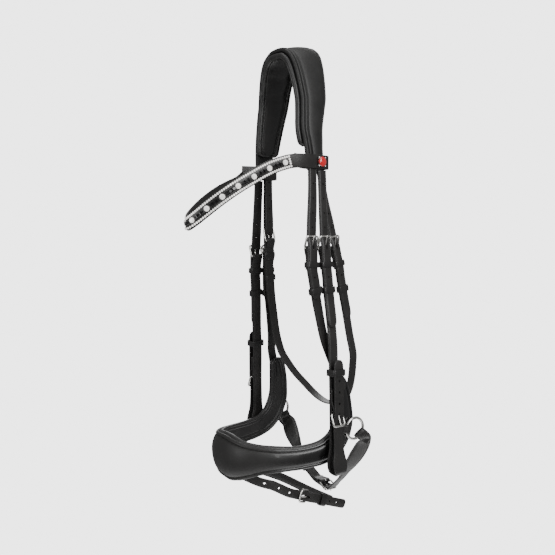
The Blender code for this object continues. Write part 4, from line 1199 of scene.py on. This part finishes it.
def make_chape_stitches(name, frame, width, body_node, out, ply):
    """Two rows of stitches that close a fold below its bar."""
    line = [frame.at(-9 - i, out) for i in range(0, ply, 2)]
    edges = [frame.across] * len(line)
    bm = bmesh.new()
    for way in (1, -1):
        stitches(bm, line, edges, way * (width / 2 - 1.6), 0, pitch=2.5)
    obj = make_piece(name, bm, THREAD)
    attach(obj, OWNER[body_node])


def make_fixed_keeper(side, kind, owner):
    """The sewn keeper just below an upper buckle, and the stitches of the fold above and below it."""
    bar = upper_buckle_frame(side, kind)
    frame = Frame(bar.at(-20, FOLD_RADIUS), bar.along, bar.out)
    outer = CHAPE_LEATHER / 2 + GAP + LEATHER + GAP + 0.1
    inner = -CHAPE_LEATHER / 2 - GAP - CHAPE_LEATHER + 0.3
    half = WIDTHS[kind] / 2 + LOOP_ROOM
    loop = leather_loop(f"{owner}_keeper_{side}", frame, (-half, half), (inner, outer), 7)
    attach(loop, OWNER[owner])
    make_chape_stitches(
        f"{owner}_stitches_{side}", bar, WIDTHS[kind], owner, FOLD_RADIUS + CHAPE_LEATHER / 2 + 0.1, 18
    )


def make_runner(side, kind):
    frame = keeper_frame(side, kind, UPPER_BAR[side, kind] - RUNNER_BELOW)
    outer = CHAPE_LEATHER / 2 + GAP + LEATHER + GAP + 0.25
    half = WIDTHS[kind] / 2 + LOOP_ROOM
    node = f"{kind}_runner_{side}"
    loop = leather_loop(node + "_loop", frame, (-half, half), (-CHAPE_LEATHER / 2 - 0.45, outer), 8)
    stands_for(loop, node)


def make_buckle(name, frame, width):
    """The rectangular wire frame, with round corners and a bar that is thinner where the leather folds."""
    half = width / 2 + 0.4 + WIRE_RADIUS
    slope = FRAME_RISE / FRAME_LENGTH
    corner = 3.0
    points, radii = [], []
    for a, s, turn in (
        (half - corner, FRAME_LENGTH - corner, 0), (-half + corner, FRAME_LENGTH - corner, 90),
        (-half + corner, corner, 180), (half - corner, corner, 270),
    ):
        for step in range(7):
            angle = math.radians(turn + 15 * step)
            along = s + corner * math.sin(angle)
            points.append(frame.at(along, along * slope, a + corner * math.cos(angle)))
            radii.append(1.12 if along > corner else 0.95)
    wire = tube(name + "_wire", points, WIRE_RADIUS, SILVER, closed=True, radii=radii)
    stands_for(wire, name)


def make_tongue(name, frame):
    """A tongue rolled round the bar, flattened a little towards its round tip over the far bar."""
    roll = WIRE_RADIUS + 0.25 + TONGUE_RADIUS
    leave = 90 + TONGUE_ANGLE
    points = []
    for step in range(16):
        angle = math.radians(leave + TONGUE_WRAP - step * TONGUE_WRAP / 15)
        points.append(frame.at(roll * math.cos(angle), roll * math.sin(angle)))
    slope = math.radians(TONGUE_ANGLE)
    way = frame.along * math.cos(slope) + frame.out * math.sin(slope)
    reaches = (3.0, 9.0, FRAME_LENGTH, FRAME_LENGTH + 1.6, FRAME_LENGTH + 2.3, FRAME_LENGTH + 2.6)
    points += [points[15] + way * reach for reach in reaches]
    radii = [1.0] * 16 + [1.1, 1.05, 0.95, 0.85, 0.55, 0.15]
    stands_for(tube(name + "_wire", points, TONGUE_RADIUS, SILVER, radii=radii), name)


# How much wider the cheek strap grows round the bit loop, as a share, how far from the loop's bottom and over
# what length
LOOP_FLARE, FLARE_AT, FLARE_SPREAD = 0.45, 18.0, 12.0
# How much narrower it is at the very bottom, and over what length, so that the loop ends round
LOOP_NARROW, NARROW_SPREAD = 0.42, 5.0


def make_cheek(side):
    line = cheek_line(side)
    lengths = lengths_along(line)
    low = min(range(len(line)), key=lambda i: line[i].z)
    middle = lengths[low] / lengths[-1]

    def width(share):
        off = abs(share - middle) * lengths[-1]
        flare = 1 + LOOP_FLARE * math.exp(-(((off - FLARE_AT) / FLARE_SPREAD) ** 2))
        return STRAP_WIDTH * flare * (1 - LOOP_NARROW * math.exp(-((off / NARROW_SPREAD) ** 2)))

    frame = bit_buckle_frame(side)
    outs = cross_outs(line, start=upper_buckle_frame(side, "cheek"))
    node = f"cheekpiece_{side}"
    obj, _, _ = leather_strip(node + "_strap", line, outs, width, CHAPE_LEATHER, tip=TIP_LENGTH)
    holes = [frame.at(s, BIT_TIP_OVER) for s in BIT_HOLES]
    punch_slot(obj, frame)
    punch(obj, [Frame(p, frame.along, frame.out) for p in holes], HOLE_RADIUS, depth=3.0)
    stands_for(obj, node)
    make_fixed_keeper(side, "cheek", node)
    chape = bit_chape_line(frame)
    piece, _, _ = leather_strip(
        f"bit_chape_{side}_fold", chape, cross_outs(chape), STRAP_WIDTH, THIN_LEATHER, dome=0.1
    )
    stands_for(piece, f"bit_chape_{side}")
    place = Frame(frame.at(-BIT_RUNNER_ABOVE), frame.along, frame.out)
    half = (STRAP_WIDTH + 1) / 2 + LOOP_ROOM
    over = BIT_TIP_OVER + CHAPE_LEATHER / 2 + 0.4
    under = -BIT_TIP_OVER - CHAPE_LEATHER / 2 - 1.5
    loop = leather_loop(f"bit_runner_{side}_loop", place, (-half, half), (under, over), 8)
    stands_for(loop, f"bit_runner_{side}")
    make_buckle(f"bit_buckle_{side}", frame, STRAP_WIDTH)
    make_tongue(f"bit_tongue_{side}", frame)


def make_hanger(side):
    line = hanger_line(side)
    outs = cross_outs(line, start=upper_buckle_frame(side, "noseband"))
    node = f"noseband_hanger_{side}"
    width = broadening(STRAP_WIDTH, *HANGER_SHARES)
    obj, stations, edges = leather_strip(node + "_strap", line, outs, width, CHAPE_LEATHER, tip=TIP_LENGTH)
    stands_for(obj, node)
    make_fixed_keeper(side, "noseband", node)
    total = lengths_along(stations)[-1]
    inset, lift = STRAP_WIDTH / 2 - 1.9, CHAPE_LEATHER / 2 + 0.1
    bm = bmesh.new()
    for way in (1, -1):
        stitches(bm, stations, edges, way * inset, lift, total - 22, total - 8)
    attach(make_piece(f"hanger_lap_stitches_{side}", bm, THREAD), OWNER[node])


def make_rings(side):
    frame = ring_frame(side)
    points = []
    for step in range(56):
        angle = 2 * math.pi * step / 56
        points.append(frame.at(RING_RADIUS * math.cos(angle), 0, RING_RADIUS * math.sin(angle)))
    node = f"ring_{side}"
    stands_for(tube(node + "_wire", points, RING_WIRE, SILVER, closed=True), node)
    line = ring_tab_line(frame)
    outs = [tangent.cross(frame.across).normalized() for tangent in tangents(line)]
    obj, _, _ = leather_strip(
        f"ring_tab_{side}_fold", line, outs, RING_TAB_WIDTH, THIN_LEATHER, step=1.2, dome=0.1
    )
    stands_for(obj, f"ring_tab_{side}")


def make_side(side):
    for kind in ("noseband", "cheek", "throat"):
        make_billet(side, kind)
        frame = upper_buckle_frame(side, kind)
        make_buckle(f"{kind}_buckle_{side}", frame, WIDTHS[kind])
        make_tongue(f"{kind}_tongue_{side}", frame)
        make_runner(side, kind)
    make_cheek(side)
    make_hanger(side)
    make_rings(side)


def make_throatlatch():
    line = throat_line()
    near, far = upper_buckle_frame("near", "throat"), upper_buckle_frame("far", "throat")
    outs = cross_outs(line, start=near, end=far)
    obj, _, _ = leather_strip("throatlatch_strap", line, outs, THROAT_WIDTH, CHAPE_LEATHER)
    stands_for(obj, "throatlatch")
    for side in SIDES:
        make_fixed_keeper(side, "throat", "throatlatch")


# ---------------------------------------------------------------- chin and flash straps


# The chin strap is fullest a little below each ring, where it also turns its face to the front
CHIN_FULL, CHIN_FULL_TO, CHIN_TURN = {"near": 5.5, "far": 7.5}, 0.44, 0.8


def chin_fullness(share):
    return math.sin(math.pi * min(max((share - 0.02) / CHIN_FULL_TO, 0), 1)) ** 0.7


def make_chin_straps():
    frame = chin_buckle_frame()
    for side, (line, outs) in chin_lines().items():
        node = f"chin_strap_{side}"
        lengths = lengths_along(line)
        turned = []
        for at, out in zip(lengths, outs):
            turn = CHIN_TURN * chin_fullness(at / lengths[-1])
            turned.append((out - Vector((0, math.copysign(turn, out.x), 0))).normalized())
        obj, _, _ = leather_strip(
            node + "_strap", line, turned,
            lambda share: chin_width(share) + CHIN_FULL[side] * chin_fullness(share),
            CHAPE_LEATHER, tip=TIP_LENGTH if side == "near" else 0, step=1.8, ease=(6, 40, 14),
        )
        if side == "near":
            punch_slot(obj, frame)
        stands_for(obj, node)
    make_buckle("chin_buckle", frame, CHIN_WIDTH)
    make_tongue("chin_tongue", frame)
    line = chin_line()
    at = min(range(len(line)), key=lambda i: abs(line[i].x - CHIN_RUNNER_X))
    way = tangents(line)[at]
    place = Frame(line[at], way, below(way))
    half = CHIN_WIDTH / 2 + LOOP_ROOM
    outer = BILLET_OVER_BAR - FOLD_RADIUS + CHAPE_LEATHER / 2 + 1.2
    loop = leather_loop("chin_runner_loop", place, (-half, half), (-CHAPE_LEATHER / 2 - 0.9, outer), 9)
    stands_for(loop, "chin_runner")


def make_flash():
    frame = flash_buckle_frame()
    line = flash_line(frame)
    ways = tangents(line)
    outs = [way.cross(-frame.across).normalized() for way in ways[:FOLD_STATIONS]]
    outs += [Vector((-way.y, way.x, 0)).normalized() for way in ways[FOLD_STATIONS:]]
    obj, stations, edges = leather_strip(
        "flash_strap_strap", line, outs, FLASH_WIDTH, CHAPE_LEATHER, tip=FLASH_TIP
    )
    punch_slot(obj, frame)
    punched = [Frame(frame.at(s, BILLET_OVER_BAR - 0.4), frame.along, frame.out) for s in FLASH_TIP_HOLES]
    punch(obj, punched, HOLE_RADIUS, depth=3.2)
    lengths = lengths_along(stations)
    bar = frame.at(FRAME_LENGTH, BILLET_AT_FAR_BAR)
    late = range(len(stations) // 2, len(stations))
    reach = lengths[min(late, key=lambda i: (stations[i] - bar).length)]
    ways = tangents(stations)
    for ahead in FLASH_HOLES:
        i = min(late, key=lambda i: abs(lengths[i] - reach + ahead))
        punch(obj, [Frame(stations[i], ways[i], edges[i].cross(ways[i]))], HOLE_RADIUS, depth=4)
    stands_for(obj, "flash_strap")
    make_buckle("flash_buckle", frame, FLASH_WIDTH)
    make_tongue("flash_tongue", frame)
    half = FLASH_WIDTH / 2 + LOOP_ROOM
    place = Frame(frame.at(FLASH_RUNNER), frame.along, frame.out)
    outer = BILLET_OVER_BAR + CHAPE_LEATHER / 2 + 0.8
    inner = FOLD_RADIUS - CHAPE_LEATHER / 2 - 0.5
    loop = leather_loop("flash_runner_loop", place, (-half, half), (inner, outer), 9)
    stands_for(loop, "flash_runner")


# The flash strap ends almost square
FLASH_TIP = 4.0
# How far before the flash buckle's far bar its open holes lie
FLASH_HOLES = (14.0, 32.0, 50.0)
FLASH_TAB = [(-1.8, 16), (-1.8, 8), (-1.8, -5.5), (-1.2, -7.6), (0.5, -8.3), (2, -7.6), (2.5, -5.5),
             (2.5, 4), (1.6, 8), (-0.1, 11), (-0.2, 16)]


def make_flash_tab():
    line = [yawed((0, y, z)) + Vector(FLASH_FRONT) for y, z in FLASH_TAB]
    outs = [tangent.cross(yawed((1, 0, 0))).normalized() for tangent in tangents(line)]
    obj, _, _ = leather_strip("flash_tab_fold", line, outs, FLASH_TAB_WIDTH, THIN_LEATHER, step=1.2, dome=0.1)
    stands_for(obj, "flash_tab")


# ---------------------------------------------------------------- headpiece


def humped(s, low, high, height, power=0.5):
    """A round ridge between two distances, and None outside them."""
    if not low <= s <= high:
        return None
    share = 2 * (s - low) / (high - low) - 1
    return height * max(1 - share * share, 0) ** power


ROLL, RIDGE, REAR = 4.2, 9.4, 3.2


def crown_height(s, width):
    """How far the headpiece's face stands out at a distance from its front edge."""
    for low, high, height, power in (
        (0, ROLL, 2.4, 0.5), (ROLL + 0.4, RIDGE, 2.3, 0.5),
        (RIDGE + 0.4, width - REAR - 0.3, 3.4, 0.36), (width - REAR, width, 1.5, 0.5),
    ):
        found = humped(s, low, high, height, power)
        if found is not None:
            return found
    return -0.5


def crown_profile(half):
    width = 2 * half
    wide = width - REAR - RIDGE - 0.7
    stations = [0.0, 0.25, 0.8, 1.5, 2.3, 3.1, 3.8, 4.35]
    stations += [ROLL + t for t in (0, 0.4, 0.7, 1.5, 2.6, 3.8, 4.9)]
    stations += [RIDGE - 0.4, RIDGE, RIDGE + 0.4]
    shares = (0.02, 0.07, 0.16, 0.3, 0.45, 0.6, 0.75, 0.87, 0.94, 0.985, 1)
    stations += [RIDGE + 0.4 + wide * t for t in shares]
    stations += [width - REAR + REAR * t for t in (0, 0.1, 0.3, 0.5, 0.7, 0.9, 1)]
    base = HEADPIECE_LEATHER / 2
    face = [(s - half, base + crown_height(s, width)) for s in stations]
    under = [(half - 0.2, -base * 0.4), (half - 1.2, -base), (0, -base), (1.2 - half, -base)]
    return face + under + [(0.2 - half, -base * 0.4)]


def pad_profile(half):
    """Outline across a padded lining: full, with a piped seam near each edge of its inner face."""
    deep = HEADPIECE_PAD / 2
    outline = []
    for step in range(13):
        angle = math.radians(-90 + 15 * step)
        outline.append((half - deep * 0.9 + deep * 0.9 * math.cos(angle), deep * math.sin(angle)))
    outline += [(half * t, deep) for t in (0.5, 0, -0.5)]
    for step in range(13):
        angle = math.radians(90 + 15 * step)
        outline.append((-half + deep * 0.9 + deep * 0.9 * math.cos(angle), deep * math.sin(angle)))
    inner = [(3.2, 0.1), (4.0, 0.6), (4.5, 1.5), (5.0, 0.5), (6.4, 0.0), (7.8, 0.5), (8.4, 1.5), (9.2, 0.8)]
    for inset, sunk in inner:
        outline.append((inset - half, sunk - deep))
    outline += [(-half * 0.3, 0.4 - deep), (0, 0.3 - deep), (half * 0.3, 0.4 - deep)]
    for inset, sunk in reversed(inner):
        outline.append((half - inset, sunk - deep))
    return outline


def carried_over(coarse_line, fine_line, values):
    """Values at the stations of a coarse line, read at the stations of the same line made finer."""
    coarse, fine = lengths_along(coarse_line), lengths_along(fine_line)
    found = []
    for at in fine:
        scaled = at / fine[-1] * coarse[-1]
        i = max(k for k in range(len(coarse) - 1) if coarse[k] <= scaled + 1e-6)
        share = min((scaled - coarse[i]) / (coarse[i + 1] - coarse[i]), 1)
        found.append(values[i] * (1 - share) + values[i + 1] * share)
    return found


def crown_stations(out, extra, end):
    """Line, acrosses and half widths of a band over the poll."""
    line = arch_line(out, end)
    centred = [p + Vector((0, between(CROWN_CENTRE[side_of(p)], p.z), 0)) for p in line]
    edges, halves = [], []
    for point in line:
        halves.append(between(CROWN_WIDTH, point.z) / 2 + extra)
        tilt = math.radians(between(CROWN_TILT, point.z))
        edges.append(Vector((0, math.cos(tilt), math.sin(tilt))))
    points, acrosses = refine(centred, edges, 2.0)
    wide, _ = refine([Vector((h, 0, 0)) for h in halves], edges, 1000)
    return points, acrosses, carried_over(centred, points, [w.x for w in wide])


def soften(obj, amount, size, seed=0.0):
    """Uneven fullness, as stuffed leather has: each point moves along its normal by smooth noise."""
    for vert in obj.data.vertices:
        shift = noise.noise(vert.co / size + Vector((seed, seed, seed)))
        vert.co += vert.normal * shift * amount


# Two creases across the lining where its far side turns over under the top, in metres: their X, their depth
# and spread, and the height that they start from
CREASES, CREASE_DEPTH, CREASE_SPREAD, CREASE_FROM = (-0.0335, -0.0265), 0.0014, 0.0017, -0.07


def crease(obj):
    """Presses the creases into the lining."""
    for vert in obj.data.vertices:
        if vert.co.z > CREASE_FROM:
            for x in CREASES:
                vert.co -= vert.normal * CREASE_DEPTH * math.exp(-(((vert.co.x - x) / CREASE_SPREAD) ** 2))


def oriented(acrosses, line):
    """Acrosses turned so that skin()'s out looks away from the middle of the head."""
    found = []
    for across, tangent, point in zip(acrosses, tangents(line), line):
        out = across.cross(tangent)
        found.append(across if out.dot(point - Vector((0, point.y, -160))) > 0 else -across)
    return found


CROWN_END = -137
# How far a row of stitches in a seam lies from a padded band's edge
SEAM_INSET = 4.5
# The lining's piping: how far each cord lies from the edge, and how far below the lining's middle
PIPING, PIPING_DEPTH = (2.4, 6.2), HEADPIECE_PAD / 2 + 0.1


def make_headpiece():
    points, acrosses, halves = crown_stations(HEADPIECE_PAD / 2, PAD_EDGE, PAD_END)
    kept = [i for i, p in enumerate(points) if p.x < 0 or p.z > NEAR_PAD_END]
    points, acrosses, halves = ([row[i] for i in kept] for row in (points, acrosses, halves))
    halves = round_ends(points, halves, 6)
    turned = oriented(acrosses, points)
    bm = bmesh.new()
    skin(bm, points, turned, [pad_profile(h) for h in halves])
    pad = make_piece("headpiece_pad_lining", bm, SOFT_LEATHER)
    soften(pad, 0.0005, 0.02)
    crease(pad)
    stands_for(pad, "headpiece_pad")
    bm = bmesh.new()
    for way in (1, -1):
        row = [p + a * way * (h - SEAM_INSET) for p, a, h in zip(points, turned, halves)]
        stitches(bm, row, turned, 0, 1.2 - HEADPIECE_PAD / 2, pitch=3.2)
    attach(make_piece("headpiece_pad_stitches", bm, THREAD), "root")
    for way, edge in ((1, "rear"), (-1, "front")):
        for i, inset in enumerate(PIPING):
            outs = [a.cross(t).normalized() for a, t in zip(turned, tangents(points))]
            row = [
                p + a * way * (h - inset) - o * PIPING_DEPTH
                for p, a, h, o in zip(points, turned, halves, outs)
            ]
            piping = tube(f"headpiece_piping_{edge}_{i}", row, 1.1, PIPING_LEATHER)
            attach(piping, "root")

    above = HEADPIECE_PAD + 3 * GAP + HEADPIECE_LEATHER / 2
    points, acrosses, halves = crown_stations(above, 0, CROWN_END)
    turned = oriented(acrosses, points)
    flipped = 1 if turned[0].dot(acrosses[0]) > 0 else -1
    bm = bmesh.new()
    skin(bm, points, turned, [[(a * flipped, o) for a, o in crown_profile(h)] for h in halves])
    crown = make_piece("headpiece_crown", bm, CROWN_LEATHER)
    soften(crown, 0.0003, 0.03, 5.0)
    stands_for(crown, "headpiece")
    bm = bmesh.new()
    base = HEADPIECE_LEATHER / 2 + 0.15
    for s in (ROLL + 0.2, RIDGE + 0.2):
        row = [p + a * (s - h) for p, a, h in zip(points, acrosses, halves)]
        stitches(bm, row, turned, 0, base, pitch=3.2, radius=0.24)
    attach(make_piece("headpiece_stitches", bm, THREAD), "root")


# ---------------------------------------------------------------- noseband


def nose_profile(half, roll=2.2):
    """Outline across the nosepiece: rolled edges, a groove inside each, and a full middle."""
    base = NOSE_LEATHER / 2
    width = 2 * half
    wide = 2 * roll
    edge = (0, 0.06, 0.2, 0.4, 0.6, 0.8, 0.94, 1)
    stations = [wide * t for t in edge]
    middle = width - 2 * wide
    shares = (0.015, 0.05, 0.12, 0.24, 0.38, 0.5, 0.62, 0.76, 0.88, 0.95, 0.985)
    stations += [wide + middle * t for t in shares]
    stations += [width - wide + wide * t for t in edge]
    full = min(0.09 * middle + 0.7, 4.2)
    face = []
    for s in stations:
        found = humped(s, 0, wide, 2.0)
        found = humped(s, width - wide, width, 1.8) if found is None else found
        found = humped(s, wide, width - wide, full, 0.4) if found is None else found
        face.append((s - half, base * 0.5 + found))
    return face + [(half - 0.8, -base), (0, -base), (0.8 - half, -base)]


# How round the noseband is from its top edge to its bottom edge: out falls by this times across squared
NOSE_BEND = 0.0075


def bent(profile):
    return [(a, o - NOSE_BEND * a * a) for a, o in profile]


def nose_stations(out, extra):
    points, wide = nose_line()
    outs = nose_outs(points)
    ways = tangents(points)
    shifted = [p + o * out for p, o in zip(points, outs)]
    edges = [t.cross(o).normalized() for t, o in zip(ways, outs)]
    line, acrosses = refine(shifted, edges, 2.4)
    return line, acrosses, [w / 2 + extra for w in carried_over(shifted, line, wide)]


def round_ends(line, halves, reach):
    """Half widths that draw in towards both ends of the band."""
    lengths = lengths_along(line)
    found = []
    for at, half in zip(lengths, halves):
        near = min(at, lengths[-1] - at)
        share = min(near / reach, 1)
        found.append(half * (0.62 + 0.38 * math.sqrt(1 - (1 - share) ** 2)))
    return found


def make_nosepiece():
    line, acrosses, halves = nose_stations(NOSE_LEATHER / 2, 0)
    shaped = round_ends(line, halves, 8)
    bm = bmesh.new()
    skin(bm, line, acrosses, [bent(nose_profile(h)) for h in shaped])
    obj = make_piece("nosepiece_leather", bm, NOSE_LEATHER_LOOK)
    soften(obj, 0.0006, 0.022, 2.0)
    stands_for(obj, "nosepiece")
    bm = bmesh.new()
    for way in (1, -1):
        row = [p + a * way * (h - SEAM_INSET) for p, a, h in zip(line, acrosses, shaped)]
        sunk = NOSE_BEND * (max(shaped) - SEAM_INSET) ** 2
        stitches(bm, row, acrosses, 0, NOSE_LEATHER / 4 + 0.15 - sunk * 0.5, pitch=3.0, radius=0.25)
    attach(make_piece("nosepiece_stitches", bm, THREAD), "noseband")

    line, acrosses, halves = nose_stations(-GAP - NOSE_PAD / 2, 1.5)
    shaped = round_ends(line, halves, 8)
    bm = bmesh.new()
    skin(bm, line, acrosses, [bent(pad_profile(h)) for h in shaped])
    pad = make_piece("nosepiece_pad_lining", bm, SOFT_LEATHER)
    soften(pad, 0.0005, 0.018, 7.0)
    stands_for(pad, "nosepiece_pad")


# ---------------------------------------------------------------- browband


def make_browband():
    middle = brow_line()
    near, far = loop_end("near"), loop_end("far")
    line = list(reversed(near)) + middle + far
    outs = [tangent.cross(Vector((0, 0, 1))).normalized() for tangent in tangents(line)]
    obj, _, _ = leather_strip(
        "browband_strap", line, outs, BROWBAND_HEIGHT, BROWBAND_LEATHER, dome=0.15, ease=(8, 8, 0)
    )
    stands_for(obj, "browband")


# Radius of each kind of stone, and its height
BIG_GEM, SMALL_GEM, SQUARE_GEM = 3.3, 1.35, 2.45
BIG_RISE, SMALL_RISE, SQUARE_RISE = 2.3, 1.1, 1.7
CABOCHON_RADIUS, CABOCHON_RISE, RIM_RADIUS = 6.3, 3.2, 6.25
BIG_SPACING = 22.5
EDGE_ROW = 5.9


def add_gem(bm, place, sides, radius, height, table=0.55, turn=0.0):
    """A cut stone that stands on a face: a girdle, a crown of facets in two tiers and a flat table."""
    tiers = [(1.0, 0.0), (1.0, 0.28), (0.84, 0.68), (table, 1.0)]
    rings = []
    for k, (share, up) in enumerate(tiers):
        ring = []
        for i in range(sides):
            angle = 2 * math.pi * (i + (0.5 if k == 2 and sides > 4 else 0)) / sides + turn
            local = Vector((radius * share * math.cos(angle), radius * share * math.sin(angle), height * up))
            ring.append(bm.verts.new(place @ local))
        rings.append(ring)
    bridge(bm, rings)


def gem_place(line, outs, at, across):
    """The place at a length along a band, with its third axis out of the face."""
    lengths = lengths_along(line)
    i = 0
    while i < len(line) - 2 and lengths[i + 1] < at:
        i += 1
    share = (at - lengths[i]) / max(lengths[i + 1] - lengths[i], 1e-6)
    way = tangents(line)[i]
    up = outs[i].cross(way).normalized()
    axes = Matrix((way, up, outs[i])).transposed().to_4x4()
    return Matrix.Translation(line[i].lerp(line[i + 1], share) + up * across) @ axes


def gem_piece(name, bm, finish):
    obj = make_piece(name, bm, finish)
    obj.data.shade_flat()
    return obj


def make_crystals():
    """Rows of small clear stones along both edges, with big round ones and square black ones between."""
    middle = brow_line()
    outs = level_outs(middle)
    first, last = 4, len(middle) - 5
    off = BROWBAND_LEATHER / 2 + 0.35
    coarse = [p + o * off for p, o in zip(middle[first:last], outs[first:last])]
    line, normals = refine(coarse, outs[first:last], 1.5)
    ways = tangents(line)
    acrosses = [way.cross(out).normalized() for way, out in zip(ways, normals)]
    half = CRYSTAL_HEIGHT / 2
    backing = [(half, -0.3), (half, 0.35), (half - 0.4, 0.6), (0, 0.6)]
    backing += [(0.4 - half, 0.6), (-half, 0.35), (-half, -0.3)]
    bm = bmesh.new()
    skin(bm, line, acrosses, [backing] * len(line))
    strip = make_piece("browband_stone_strip", bm, EDGE_LEATHER)
    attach(strip, "browband")
    face = [p + o * 0.55 for p, o in zip(line, normals)]
    total = lengths_along(face)[-1]
    small, big, square = bmesh.new(), bmesh.new(), bmesh.new()
    for way in (1, -1):
        at = 1.3
        while at < total - 1.2:
            add_gem(small, gem_place(face, normals, at, way * EDGE_ROW), 8, SMALL_GEM, SMALL_RISE)
            at += 2 * SMALL_GEM + 0.3
    for row in range(-1, 2):
        for at in (1.3, total - 1.35):
            add_gem(small, gem_place(face, normals, at, row * 2.7), 8, SMALL_GEM, SMALL_RISE)
    start = 8.0
    while start < total - 6:
        add_gem(big, gem_place(face, normals, start, 0), 12, BIG_GEM, BIG_RISE)
        for i in range(3):
            at = start + BIG_SPACING / 2 + (i - 1) * (2 * SQUARE_GEM * 1.08)
            if at < total - 5:
                place = gem_place(face, normals, at, 0)
                add_gem(square, place, 4, SQUARE_GEM * 1.38, SQUARE_RISE, table=0.6, turn=math.pi / 4)
        start += BIG_SPACING
    rows = gem_piece("browband_small_stones", small, CLEAR_STONE)
    stands_for(rows, "browband_crystals")
    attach(gem_piece("browband_round_stones", big, CLEAR_STONE), "browband")
    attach(gem_piece("browband_black_stones", square, BLACK_STONE), "browband")


def make_brow_stone():
    """A plain round red cabochon in a square setting with a bead at each corner."""
    low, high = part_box("browband_stone_setting")
    centre = Vector((low.x, (low.y + high.y) / 2, (low.z + high.z) / 2)) / MM + Vector((0, 0, SEAT_HEIGHT))
    half = (high.y - low.y) / 2 / MM
    bm = bmesh.new()
    tiers = [(1.0, 0.0), (1.0, 1.1), (0.9, 1.6), (0.78, 1.6), (0.72, 1.0)]
    rings = []
    for share, out in tiers:
        ring = []
        for a, b, turn in ((1, 1, 0), (-1, 1, 90), (-1, -1, 180), (1, -1, 270)):
            for step in (0, 45, 90):
                angle = math.radians(turn + step)
                y = a * (half * share - 1) + math.cos(angle)
                z = b * (half * share - 1) + math.sin(angle)
                ring.append(bm.verts.new(centre + Vector((out, y, z))))
        rings.append(ring)
    bridge(bm, rings)
    setting = make_piece("red_stone_setting", bm, SETTING, sharp_from=30)
    stands_for(setting, "browband_stone_setting")
    bm = bmesh.new()
    face = Matrix.Translation(centre + Vector((1.2, 0, 0))) @ Matrix.Rotation(math.radians(90), 4, "Y")
    for a in (1, -1):
        for b in (1, -1):
            corner = Matrix.Translation(Vector((0, a, b)) * (half - 0.95))
            add_gem(bm, corner @ face, 8, 0.8, 0.9)
    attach(gem_piece("red_stone_corner_beads", bm, CLEAR_STONE), "browband")
    bm = bmesh.new()
    shape = Matrix.Diagonal((CABOCHON_RADIUS, CABOCHON_RADIUS, CABOCHON_RISE, 1))
    bmesh.ops.create_uvsphere(bm, u_segments=40, v_segments=24, radius=1, matrix=face @ shape)
    stands_for(make_piece("red_cabochon", bm, RED_STONE), "browband_stone")
    turns = [math.radians(9 * i) for i in range(40)]
    line = [centre + Vector((1.7, RIM_RADIUS * math.cos(a), RIM_RADIUS * math.sin(a))) for a in turns]
    rim = tube("red_stone_rim", line, 0.4, SETTING, closed=True)
    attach(rim, "browband")


# ---------------------------------------------------------------- assembly

make_camera()
make_studio()
make_floor()
make_headpiece()
for each_side in SIDES:
    make_side(each_side)
make_nosepiece()
make_browband()
make_crystals()
make_brow_stone()
make_throatlatch()
make_chin_straps()
make_flash()
make_flash_tab()
